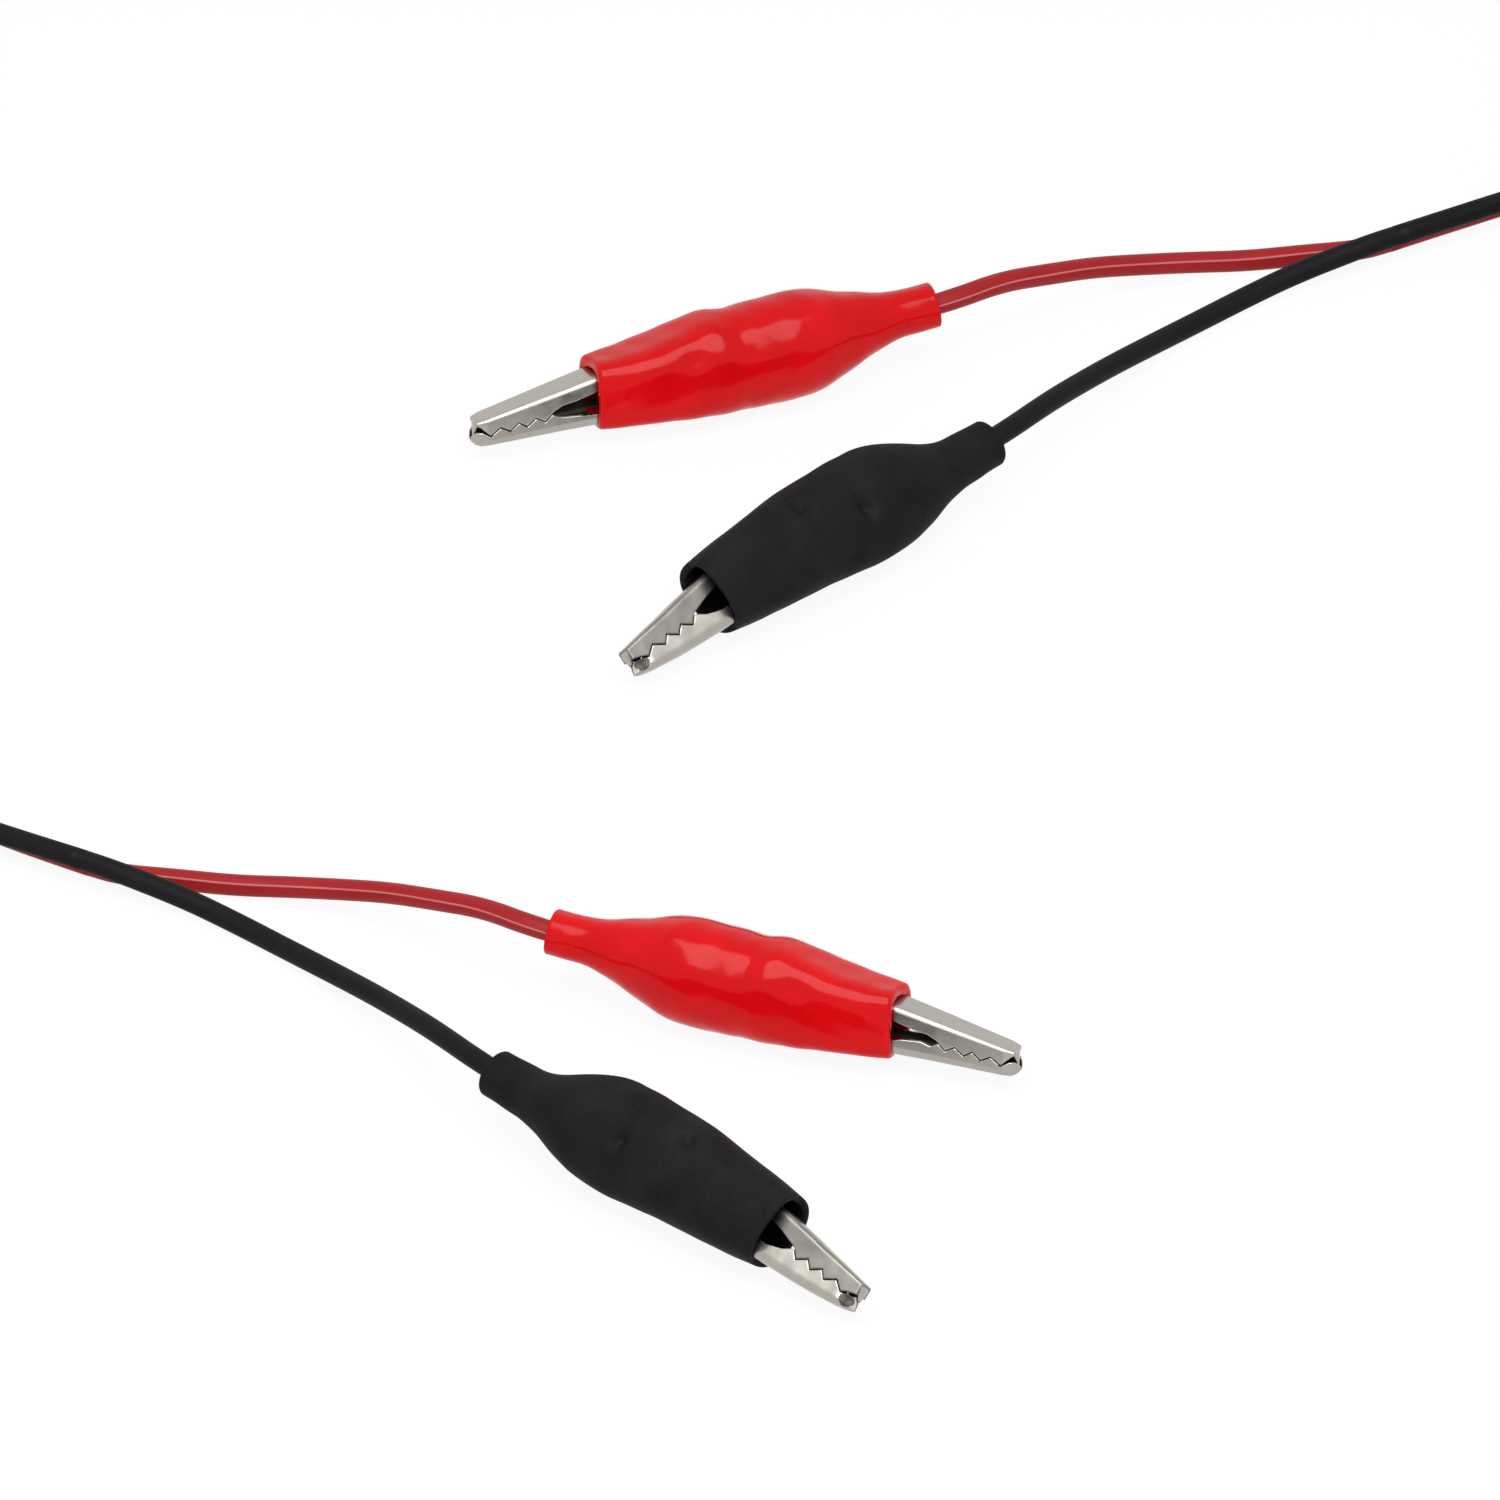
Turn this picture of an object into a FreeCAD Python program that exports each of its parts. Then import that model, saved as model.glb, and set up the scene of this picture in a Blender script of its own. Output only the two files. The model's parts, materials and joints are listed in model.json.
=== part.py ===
import FreeCAD, Part
import math
import os
import re

import Sketcher
from FreeCAD import Placement, Rotation, Vector

# Double-ended test lead: four insulated crocodile clips on a two-core flex that splits
# into a red and a black leg at each end.
#
# Clip frame: X runs from the nose of the jaws to the tail of the sleeve, Z is the way the
# upper jaw opens, and Y runs across the clip. The teeth close on Z = 0.
# Lead frame: Z is up and the floor is Z = 0. The origin is the middle of the four clips.

SIZES = [
    # alias, value, what it is
    ("sheet_steel", 0.4, "thickness of the jaws' steel"),
    ("nose_width", 2.4, "outside width of both jaws at the nose"),
    ("jaw_width", 4.0, "outside width of both jaws at the shoulder"),
    ("shoulder_at", 12.5, "nose to shoulder, where the teeth's part of the jaws ends"),
    ("neck_length", 6.0, "shoulder to where the fixed jaw holds the moving jaw"),
    ("side_gap", 0.1, "running gap between the moving jaw's ears and the fixed jaw's"),
    ("tooth_pitch", 2.0, "tooth to tooth"),
    ("tooth_depth", 0.6, "root to tip of a tooth"),
    ("first_tooth", 1.5, "nose to the tip of the upper jaw's first tooth"),
    ("closing_gap", 0.08, "gap left between closed teeth"),
    ("beak_gap", 0.1, "gap between the upper jaw's beak and the lower jaw's nose"),
    ("beak_depth", 0.75, "how far the beak's point reaches below the teeth"),
    ("upper_nose_height", 1.5, "teeth to the top of the upper jaw at the nose"),
    ("upper_shoulder_height", 2.65, "the same at the shoulder"),
    ("upper_pivot_height", 3.1, "the same at the pivot"),
    ("lower_nose_depth", 1.3, "teeth to the bottom of the lower jaw at the nose"),
    ("lower_shoulder_depth", 2.05, "the same at the shoulder"),
    ("lower_pivot_depth", 2.4, "the same at the pivot"),
    ("throat_half_height", 1.0, "half the gap between the jaws at the shoulder"),
    ("pivot_at", 21.0, "nose to pivot"),
    ("ear_radius", 1.8, "pivot to the edge of an ear, along the clip"),
    ("ear_height", 1.3, "pivot to the edge of an ear, across the teeth"),
    ("lever_length", 10.5, "pivot to the end of the thumb lever"),
    ("lever_height", 4.3, "teeth to the top of the thumb lever's end"),
    ("lever_flange", 0.4, "how far the lever's side flanges reach below its sheet"),
    ("pin_diameter", 1.5, "rivet's shank"),
    ("pin_fit", 0.05, "radial running fit of the shank in the ears"),
    ("pin_head_diameter", 2.4, "rivet's heads"),
    ("pin_head_height", 0.4, "rivet's heads"),
    ("spring_wire", 0.45, "torsion spring's wire"),
    ("spring_mean_diameter", 2.7, "torsion spring's coil, wire centre to wire centre"),
    ("spring_turns", 4, "turns of the torsion spring"),
    ("spring_arm_up", 7.0, "pivot to the end of the arm under the lever"),
    ("spring_arm_down", 4.6, "pivot to the end of the arm on the fixed jaw"),
    ("spring_seat_gap", 0.04, "arm to the sheet that it presses on"),
    ("tail_width", 2.2, "strip that joins the fixed jaw to its crimps"),
    ("wire_axis_depth", 1.3, "teeth to the centre of the crimped wire"),
    ("strand_bundle", 1.0, "diameter of the stripped copper strands"),
    ("core_crimp_at", 7.0, "pivot to the front of the conductor crimp"),
    ("core_crimp_length", 3.0, "conductor crimp"),
    ("strip_length", 4.5, "bare length of the strands"),
    ("grip_crimp_length", 2.7, "insulation crimp"),
    ("grip_crimp_setback", 0.8, "end of the insulation to the insulation crimp"),
    ("crimp_fit", 0.02, "radial gap of a crimp on what it holds"),
    ("core_diameter", 2.2, "insulated wire of one leg"),
    ("sleeve_wall", 0.7, "sleeve's wall"),
    ("mouth_at", 13.0, "nose to the sleeve's mouth"),
    ("mouth_height", 8.3, "sleeve's mouth, the way the jaws open"),
    ("mouth_width", 8.2, "sleeve's mouth, across the clip"),
    ("mouth_rise", 0.6, "centre of the mouth above the teeth"),
    ("shoulder_swell_at", 29.5, "nose to where the sleeve reaches its full size"),
    ("belly_at", 34.5, "nose to where the sleeve starts to narrow"),
    ("belly_height", 11.3, "belly, the way the jaws open"),
    ("belly_width", 10.4, "belly, across the clip"),
    ("neck_at", 46.5, "nose to the start of the sleeve's tail"),
    ("tail_height", 5.2, "sleeve's tail, the way the jaws open"),
    ("tail_width_across", 5.1, "sleeve's tail, across the clip"),
    ("tail_bore_gap", 0.05, "radial gap of the tail's bore on the wire"),
    ("clip_length", 51.4, "nose to the end of the sleeve"),
    ("black_swell", 1.05, "how much fatter the black sleeves are than the red ones"),
    ("clip_pitch", 4.0, "degrees that a clip's tail lies higher than its nose"),
    ("red_heading", 19.6, "degrees from X to the red clips' tails, seen from above"),
    ("red_roll", 16.0, "degrees that the red clips lean back"),
    ("red_nose_across", 28.2, "red clips' noses from the lead's centre line"),
    ("red_nose_along", 11.0, "red clips' noses from the middle of their own end"),
    ("black_heading", 42.6, "degrees from X to the black clips' tails"),
    ("black_roll", 48.0, "degrees that the black clips lean back"),
    ("black_nose_across", 12.2, "black clips' noses from the lead's centre line"),
    ("black_nose_along", -30.2, "black clips' noses from the middle of their own end"),
    ("end_spacing", 112.0, "one end of the lead to the other, as they are laid out"),
    ("twin_diameter", 4.4, "two-core flex, across both cores"),
    ("coil_radius", 22.0, "centre of the coil to the middle of its turns"),
    ("coil_lift", 0.75, "floor to the coil, which the tie holds up"),
    ("coil_centre_across", 108.7, "coil's centre from the lead's centre line"),
    ("coil_centre_along", 42.15, "coil's centre from the middle of the first end"),
    ("tie_thickness", 0.6, "strap of the tie"),
    ("tie_width", 3.0, "strap of the tie"),
    ("tie_slack", 0.12, "gap between the tie and the coil"),
    ("tie_bearing", -35.0, "degrees from X to the tie, seen from the coil's centre"),
]

SWELL_STEPS = 6
TAIL_STEP_LENGTH = 2.5
EXPORT_FOLDER = "parts"
VOLUME_TOLERANCE = 0.02

doc = FreeCAD.newDocument("test_lead")


def make_sheet():
    """Driving dimensions, one row each."""
    table = doc.addObject("Spreadsheet::Sheet", "Sizes")
    for row, (alias, value, meaning) in enumerate(SIZES, start=1):
        table.set(f"A{row}", meaning)
        table.set(f"B{row}", str(value))
        table.setAlias(f"B{row}", alias)
    doc.recompute()
    return table


sheet = make_sheet()


def size(alias):
    return float(sheet.get(alias))


def cell(text):
    """Write 'shoulder_at + 2' as the expression 'Sizes.shoulder_at + 2'."""
    aliases = {row[0] for row in SIZES}
    return re.sub(
        r"[a-z_]+",
        lambda word: f"Sizes.{word[0]}" if word[0] in aliases else word[0],
        text,
    )


def origin_plane(body, role):
    return next(plane for plane in body.Origin.OriginFeatures if plane.Role == role)


def new_sketch(body, name, role, offset):
    """Empty sketch on one of the body's own planes, moved along the plane's normal."""
    sketch = body.newObject("Sketcher::SketchObject", name)
    sketch.AttachmentSupport = [(origin_plane(body, role), "")]
    sketch.MapMode = "FlatFace"
    sketch.setExpression("AttachmentOffset.Base.z", cell(offset))
    return sketch


def outline(body, name, role, corners, offset="0"):
    """Closed polygon. Each corner is two expressions, held by two dimensions."""
    sketch = new_sketch(body, name, role, offset)
    points = [
        Vector(float(sheet.evalExpression(cell(across))), float(sheet.evalExpression(cell(up))), 0)
        for across, up in corners
    ]
    count = len(points)
    for index in range(count):
        sketch.addGeometry(Part.LineSegment(points[index], points[(index + 1) % count]), False)
    for index in range(count):
        following = (index + 1) % count
        sketch.addConstraint(Sketcher.Constraint("Coincident", index, 2, following, 1))
    for index, (across, up) in enumerate(corners):
        for letter, kind, text, start in (
            ("x", "DistanceX", across, points[index].x),
            ("y", "DistanceY", up, points[index].y),
        ):
            added = sketch.addConstraint(Sketcher.Constraint(kind, -1, 1, index, 1, start))
            sketch.renameConstraint(added, f"{letter}{index}")
            sketch.setExpression(f".Constraints.{letter}{index}", cell(text))
    return sketch


def disc(body, name, role, diameter, across, up, offset="0"):
    """Circle held by its diameter and its centre."""
    sketch = new_sketch(body, name, role, offset)
    centre = Vector(
        float(sheet.evalExpression(cell(across))), float(sheet.evalExpression(cell(up))), 0
    )
    radius = float(sheet.evalExpression(cell(diameter))) / 2
    sketch.addGeometry(Part.Circle(centre, Vector(0, 0, 1), radius), False)
    for label, constraint, text in (
        ("diameter", Sketcher.Constraint("Diameter", 0, 2 * radius), diameter),
        ("across", Sketcher.Constraint("DistanceX", -1, 1, 0, 3, centre.x), across),
        ("up", Sketcher.Constraint("DistanceY", -1, 1, 0, 3, centre.y), up),
    ):
        added = sketch.addConstraint(constraint)
        sketch.renameConstraint(added, label)
        sketch.setExpression(f".Constraints.{label}", cell(text))
    return sketch


def channel_section(body, name, station, half_width, low, high):
    """Rectangle across the clip at one station along it."""
    corners = [
        (f"-({half_width})", low),
        (half_width, low),
        (half_width, high),
        (f"-({half_width})", high),
    ]
    return outline(body, name, "YZ_Plane", corners, station)


def loft(body, kind, name, sections):
    """Straight-sided loft through sections."""
    feature = body.newObject(f"PartDesign::{kind}", name)
    feature.Profile = sections[0]
    feature.Sections = sections[1:]
    feature.Ruled = True
    for section in sections:
        section.Visibility = False
    return feature


def cut_across(body, name, sketch):
    """Pocket through the whole width of the clip, both ways from its middle plane."""
    pocket = body.newObject("PartDesign::Pocket", name)
    pocket.Profile = sketch
    pocket.Midplane = True
    pocket.setExpression("Length", cell("2 * belly_width"))
    return pocket


def teeth(drop):
    """The closing line from the nose to the throat, as corners of an edge."""
    corners = []
    for index in range(4):
        tip = f"first_tooth + {index} * tooth_pitch"
        corners.append((tip, f"-tooth_depth / 2 - {drop}"))
        corners.append((f"{tip} + tooth_pitch / 2", f"tooth_depth / 2 - {drop}"))
    return corners


def moving_jaw(name):
    """Upper jaw: a folded channel with beak, teeth, ears and thumb lever."""
    body = doc.addObject("PartDesign::Body", name)
    low = "-2 * ear_height"
    lever_end = "pivot_at + lever_length"
    inner_half = "jaw_width / 2 + sheet_steel / 2 - sheet_steel - side_gap"
    stations = [
        ("0", "nose_width / 2", "upper_nose_height"),
        ("shoulder_at", "jaw_width / 2", "upper_shoulder_height"),
        ("shoulder_at + neck_length", inner_half, "upper_shoulder_height + 0.25"),
        ("pivot_at", inner_half, "upper_pivot_height"),
        (lever_end, inner_half, "lever_height"),
    ]
    outside = [
        channel_section(body, f"{name}_outside_{index}", at, half, low, high)
        for index, (at, half, high) in enumerate(stations)
    ]
    loft(body, "AdditiveLoft", f"{name}_blank", outside)
    stations[0] = ("sheet_steel", "nose_width / 2", "upper_nose_height")
    stations[-1] = (f"{lever_end} + 1", inner_half, "lever_height + 0.1")
    inside = [
        channel_section(
            body,
            f"{name}_inside_{index}",
            at,
            f"{half} - sheet_steel",
            f"{low} - 1",
            f"{high} - sheet_steel",
        )
        for index, (at, half, high) in enumerate(stations)
    ]
    loft(body, "SubtractiveLoft", f"{name}_channel", inside)
    edge = [
        ("sheet_steel", "-4 * ear_height"),
        ("sheet_steel", "tooth_depth + beak_gap"),
        *teeth("0"),
        ("shoulder_at", "throat_half_height"),
        ("pivot_at - 2 * ear_radius", "throat_half_height"),
        ("pivot_at - ear_radius", "-ear_height"),
        ("pivot_at + ear_radius", "-ear_height"),
        ("pivot_at + 2 * ear_radius", "upper_pivot_height - sheet_steel - 2 * lever_flange"),
        (f"{lever_end} + 1", "lever_height - sheet_steel - lever_flange"),
        (f"{lever_end} + 1", "-4 * ear_height"),
    ]
    cut_across(body, f"{name}_edge", outline(body, f"{name}_edge_line", "XZ_Plane", edge))
    hole = disc(body, f"{name}_hole_line", "XZ_Plane", "pin_diameter + 2 * pin_fit", "pivot_at", "0")
    cut_across(body, f"{name}_hole", hole)
    beak = [
        ("-nose_width", "-4 * ear_height"),
        ("nose_width", "-4 * ear_height"),
        ("nose_width", "tooth_depth + beak_gap"),
        ("nose_width / 2 + 0.01", "tooth_depth + beak_gap"),
        ("0.12", "-beak_depth"),
        ("-0.12", "-beak_depth"),
        ("-nose_width / 2 - 0.01", "tooth_depth + beak_gap"),
        ("-nose_width", "tooth_depth + beak_gap"),
    ]
    point = body.newObject("PartDesign::Pocket", f"{name}_beak")
    point.Profile = outline(body, f"{name}_beak_line", "YZ_Plane", beak)
    point.Reversed = True
    point.setExpression("Length", cell("sheet_steel"))
    return body


def fixed_jaw(name):
    """Lower jaw: a folded channel with nose, teeth and ears, a tail strip and two crimps."""
    body = doc.addObject("PartDesign::Body", name)
    high = "3 * ear_height"
    nose = "sheet_steel + beak_gap"
    outer_half = "jaw_width / 2 + sheet_steel / 2 + 0.1"
    floor = "wire_axis_depth + core_diameter / 2 + crimp_fit + sheet_steel"
    strip_at = "pivot_at + core_crimp_at - 1"
    strip_end = "pivot_at + core_crimp_at + strip_length + grip_crimp_setback + 0.3"
    stations = [
        (nose, "nose_width / 2", "lower_nose_depth"),
        ("shoulder_at", "jaw_width / 2", "lower_shoulder_depth"),
        ("shoulder_at + neck_length", outer_half, "lower_shoulder_depth + 0.1"),
        ("pivot_at", outer_half, "lower_pivot_depth"),
        ("pivot_at + 2 * ear_radius", outer_half, "lower_pivot_depth + 0.1"),
        (strip_at, "tail_width / 2", floor),
        (strip_end, "tail_width / 2", floor),
    ]
    outside = [
        channel_section(body, f"{name}_outside_{index}", at, half, f"-({low})", high)
        for index, (at, half, low) in enumerate(stations)
    ]
    loft(body, "AdditiveLoft", f"{name}_blank", outside)
    stations[0] = (f"{nose} + sheet_steel", "nose_width / 2", "lower_nose_depth")
    stations[-1] = (f"{strip_end} + 1", "tail_width / 2", floor)
    inside = [
        channel_section(
            body,
            f"{name}_inside_{index}",
            at,
            f"{half} - sheet_steel",
            f"-({low}) + sheet_steel",
            f"{high} + 1",
        )
        for index, (at, half, low) in enumerate(stations)
    ]
    loft(body, "SubtractiveLoft", f"{name}_channel", inside)
    edge = [
        ("-1", "6 * ear_height"),
        ("-1", "tooth_depth / 2 - closing_gap"),
        (nose, "tooth_depth / 2 - closing_gap"),
        *teeth("closing_gap"),
        ("first_tooth + 4 * tooth_pitch", "-throat_half_height / 2"),
        ("shoulder_at", "-throat_half_height"),
        ("pivot_at - 2.2 * ear_radius", "-throat_half_height"),
        ("pivot_at - ear_radius", "ear_height"),
        ("pivot_at + ear_radius", "ear_height"),
        ("pivot_at + 2 * ear_radius", "-(lower_pivot_depth + 0.1) + sheet_steel"),
        (strip_at, f"-({floor}) + sheet_steel"),
        (f"{strip_end} + 1", f"-({floor}) + sheet_steel"),
        (f"{strip_end} + 1", "6 * ear_height"),
    ]
    cut_across(body, f"{name}_edge", outline(body, f"{name}_edge_line", "XZ_Plane", edge))
    hole = disc(body, f"{name}_hole_line", "XZ_Plane", "pin_diameter + 2 * pin_fit", "pivot_at", "0")
    cut_across(body, f"{name}_hole", hole)
    core_at = "pivot_at + core_crimp_at"
    grip_at = f"{core_at} + strip_length + grip_crimp_setback"
    for part, at, bore, wall, length in (
        ("core_crimp", core_at, "strand_bundle", "core_diameter + sheet_steel", "core_crimp_length"),
        (
            "grip_crimp",
            grip_at,
            "core_diameter",
            "core_diameter + 2 * crimp_fit + 2 * sheet_steel",
            "grip_crimp_length",
        ),
    ):
        barrel = body.newObject("PartDesign::Pad", f"{name}_{part}")
        barrel.Profile = disc(
            body,
            f"{name}_{part}_line",
            "YZ_Plane",
            wall,
            "0",
            "-wire_axis_depth",
            at,
        )
        barrel.setExpression("Length", cell(length))
        bored = body.newObject("PartDesign::Pocket", f"{name}_{part}_bore")
        bored.Profile = disc(
            body,
            f"{name}_{part}_bore_line",
            "YZ_Plane",
            f"{bore} + 2 * crimp_fit",
            "0",
            "-wire_axis_depth",
            f"{at} - 0.5",
        )
        bored.Reversed = True
        bored.setExpression("Length", cell(f"{length} + 1"))
    return body


def cylinder(name, radius, length, base, direction):
    """Part cylinder with its radius, length and base bound to the sheet."""
    tube = doc.addObject("Part::Cylinder", name)
    tube.setExpression("Radius", cell(radius))
    tube.setExpression("Height", cell(length))
    tube.Placement = Placement(Vector(0, 0, 0), Rotation(Vector(0, 0, 1), direction))
    for letter, text in zip("xyz", base):
        tube.setExpression(f"Placement.Base.{letter}", cell(text))
    return tube


def pivot_pin(name):
    """Rivet: a shank through all four ears and a flat head on each side."""
    ear = "(jaw_width / 2 + sheet_steel / 2 + 0.1 + crimp_fit)"
    across = Vector(0, 1, 0)
    shank = cylinder(
        f"{name}_shank", "pin_diameter / 2", f"2 * {ear}", ("pivot_at", f"-{ear}", "0"), across
    )
    heads = [
        cylinder(
            f"{name}_head_{side}",
            "pin_head_diameter / 2",
            "pin_head_height",
            ("pivot_at", base, "0"),
            across,
        )
        for side, base in (("near", f"-{ear} - pin_head_height"), ("far", ear))
    ]
    rivet = doc.addObject("Part::MultiFuse", name)
    rivet.Shapes = [shank, *heads]
    return rivet


def straight_rod(start, end, diameter):
    axis = end - start
    return Part.makeCylinder(diameter / 2, axis.Length, start, axis)


def tangent_point(radius, target, upper):
    """Where a straight line from target touches a circle round the origin, in X and Z."""
    reach = math.hypot(target.x, target.z)
    bearing = math.atan2(target.z, target.x)
    swing = math.acos(radius / reach)
    angle = bearing + swing if upper else bearing - swing
    return Vector(radius * math.cos(angle), target.y, radius * math.sin(angle))


def spring(name):
    """Torsion spring: a close coil round the rivet and two straight arms."""
    wire = size("spring_wire")
    radius = size("spring_mean_diameter") / 2
    turns = size("spring_turns")
    pitch = wire + size("spring_seat_gap")
    half = turns * pitch / 2
    rise = (size("lever_height") - size("upper_pivot_height")) / size("lever_length")
    seat = wire / 2 + size("spring_seat_gap") + size("sheet_steel")
    arm_up = size("spring_arm_up")
    top = Vector(arm_up, -half, size("upper_pivot_height") + rise * arm_up - seat)
    floor = size("lower_pivot_depth") + 0.1
    bottom = Vector(size("spring_arm_down"), half, -floor + seat)
    pivot = Vector(size("pivot_at"), 0, 0)
    upper_touch = tangent_point(radius, top, True)
    lower_touch = tangent_point(radius, bottom, False)
    start = math.degrees(math.atan2(upper_touch.z, upper_touch.x))
    stop = math.degrees(math.atan2(lower_touch.z, lower_touch.x))
    swept = 360 * (turns - 1) + (start - stop) % 360
    helix = Part.makeHelix(pitch, pitch * swept / 360, radius)
    helix.rotate(Vector(0, 0, 0), Vector(1, 0, 0), -90)
    helix.translate(Vector(0, -pitch * swept / 720, 0))
    helix.rotate(Vector(0, 0, 0), Vector(0, 1, 0), -start)
    helix.translate(pivot)
    path = Part.Wire(helix.Edges)
    first = path.OrderedVertexes[0].Point
    last = path.OrderedVertexes[-1].Point
    heading = helix.Edges[0].tangentAt(helix.Edges[0].FirstParameter)
    section = Part.Wire(Part.makeCircle(wire / 2, first, heading))
    coil = path.makePipeShell([section], True, True)
    top = Vector(top.x + pivot.x, first.y, top.z)
    bottom = Vector(bottom.x + pivot.x, last.y, bottom.z)
    arms = [straight_rod(first, top, wire), straight_rod(last, bottom, wire)]
    bends = [Part.makeSphere(wire / 2, first), Part.makeSphere(wire / 2, last)]
    shape = coil.fuse([*arms, *bends])
    feature = doc.addObject("Part::Feature", name)
    feature.Shape = shape
    return feature


def strands(name):
    """Stripped copper strands, drawn as their bundle, from the crimp to the insulation."""
    return cylinder(
        name,
        "strand_bundle / 2",
        "strip_length",
        ("pivot_at + core_crimp_at - 0.5", "0", "-wire_axis_depth"),
        Vector(1, 0, 0),
    )


def cosine_rise(share):
    """0 to 1 as share goes from 0 to 1, level at both ends."""
    return (1 - math.cos(math.pi * share)) / 2


def tail_steps():
    """How many steps the tail's sections take, so that they stay close together."""
    return math.ceil((size("clip_length") - size("neck_at")) / TAIL_STEP_LENGTH)


def sleeve_stations():
    """Sections of the sleeve: place, height, width and rise of the centre, as expressions.

    It swells from the mouth to the shoulder in a cosine, stays level to the belly, falls
    to the neck in a cosine, and its tail is straight.
    """
    rows = []
    for step in range(SWELL_STEPS):
        share = step / SWELL_STEPS
        swell = cosine_rise(share)
        rows.append(
            (
                f"mouth_at + {share} * (shoulder_swell_at - mouth_at)",
                f"mouth_height + {swell} * (belly_height - mouth_height)",
                f"mouth_width + {swell} * (belly_width - mouth_width)",
                f"mouth_rise * {1 - share}",
            )
        )
    for at in ("shoulder_swell_at", "(shoulder_swell_at + belly_at) / 2"):
        rows.append((at, "belly_height", "belly_width", "0"))
    for step in range(SWELL_STEPS):
        share = step / SWELL_STEPS
        swell = 1 - cosine_rise(share)
        rows.append(
            (
                f"belly_at + {share} * (neck_at - belly_at)",
                f"tail_height + {swell} * (belly_height - tail_height)",
                f"tail_width_across + {swell} * (belly_width - tail_width_across)",
                "0",
            )
        )
    for step in range(tail_steps() + 1):
        at = f"neck_at + {step / tail_steps()} * (clip_length - neck_at)"
        rows.append((at, "tail_height", "tail_width_across", "0"))
    return rows


def oval(name, station, height, width, rise):
    """Ellipse across the clip, tall axis up."""
    ellipse = doc.addObject("Part::Ellipse", name)
    ellipse.Placement = Placement(Vector(0, 0, 0), Rotation(Vector(0, 1, 0), -90))
    ellipse.setExpression("MajorRadius", cell(f"({height}) / 2"))
    ellipse.setExpression("MinorRadius", cell(f"({width}) / 2"))
    ellipse.setExpression("Placement.Base.x", cell(station))
    ellipse.setExpression("Placement.Base.z", cell(rise))
    return ellipse


def skin(name, rows):
    """Smooth solid through ovals."""
    surface = doc.addObject("Part::Loft", name)
    surface.Sections = [oval(f"{name}_oval_{index}", *row) for index, row in enumerate(rows)]
    surface.Solid = True
    surface.Ruled = False
    return surface


def sleeve(name, swell):
    """Soft boot: a hollow oval bulb that narrows to a bore round the wire."""
    rows = [
        (at, f"({height}) * {swell}", f"({width}) * {swell}", rise)
        for at, height, width, rise in sleeve_stations()
    ]
    hollow = [
        (at, f"{height} - 2 * sleeve_wall", f"{width} - 2 * sleeve_wall", rise)
        for at, height, width, rise in rows[: 1 - SWELL_STEPS // 2 - tail_steps()]
    ]
    hollow[0] = ("mouth_at - 0.5", *hollow[0][1:])
    bore = "core_diameter + 2 * tail_bore_gap"
    hollow.append(("neck_at - 2", f"{bore} + 1.3", f"{bore} + 1.2", "0"))
    hollow.append(("neck_at - 0.5", f"{bore} + 0.5", f"{bore} + 0.4", "0"))
    hollowed = doc.addObject("Part::Cut", f"{name}_hollowed")
    hollowed.Base = skin(f"{name}_outside", rows)
    hollowed.Tool = skin(f"{name}_inside", hollow)
    bored = doc.addObject("Part::Cut", name)
    bored.Base = hollowed
    bored.Tool = cylinder(
        f"{name}_bore",
        f"({bore}) / 2",
        "clip_length - neck_at + 4",
        ("neck_at - 3", "0", "0"),
        Vector(1, 0, 0),
    )
    return bored


def clip_placement(colour, end, height):
    """Where a clip lies. The far end of the lead is the near end's mirror image."""
    side = 1 if end == 1 else -1
    heading = size(f"{colour}_heading")
    yaw = heading if end == 1 else 180 - heading
    middle = size("end_spacing") / 2
    base = Vector(
        -side * size(f"{colour}_nose_across"),
        side * middle + size(f"{colour}_nose_along"),
        height,
    )
    return Placement(base, Rotation(yaw, -size("clip_pitch"), -side * size(f"{colour}_roll")))


def clip(colour, end):
    """One whole clip, laid on the floor. Gives its placement, for the wire that leaves it."""
    name = f"{colour}_{end}"
    boot = sleeve(f"{name}_sleeve", "black_swell" if colour == "black" else "1")
    pieces = [
        boot,
        fixed_jaw(f"{name}_fixed_jaw"),
        moving_jaw(f"{name}_moving_jaw"),
        pivot_pin(f"{name}_pivot_pin"),
        spring(f"{name}_spring"),
        strands(f"{name}_strands_bundle"),
    ]
    core = doc.addObject("Part::Compound", f"{name}_strands")
    core.Links = [pieces.pop()]
    pieces.append(core)
    doc.recompute()
    boot.Placement = clip_placement(colour, end, 0)
    doc.recompute()
    lowest = boot.Shape.optimalBoundingBox(False, False).ZMin
    place = clip_placement(colour, end, -lowest)
    for piece in pieces:
        piece.Placement = place
    print(f"{name}: nose at {place.Base}, axis {place.Rotation.multVec(Vector(1, 0, 0))}")
    return pieces, place


def rounded_path(points):
    """Straight runs joined by tangent arcs, each as large as its two runs allow."""
    edges = []
    radii = []
    cursor = points[0]
    for before, corner, after in zip(points, points[1:], points[2:]):
        come = corner - before
        go = after - corner
        shorter = min(come.Length, go.Length)
        turn = come.getAngle(go)
        back = 0.45 * shorter
        radii.append(back / math.tan(turn / 2))
        come.normalize()
        go.normalize()
        start = corner - come * back
        stop = corner + go * back
        bisector = (go - come).normalize()
        centre_to_corner = radii[-1] / math.cos(turn / 2)
        middle = corner + bisector * (centre_to_corner - radii[-1])
        edges.append(Part.LineSegment(cursor, start).toShape())
        edges.append(Part.Arc(start, middle, stop).toShape())
        cursor = stop
    edges.append(Part.LineSegment(cursor, points[-1]).toShape())
    return Part.Wire(edges), radii


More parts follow.
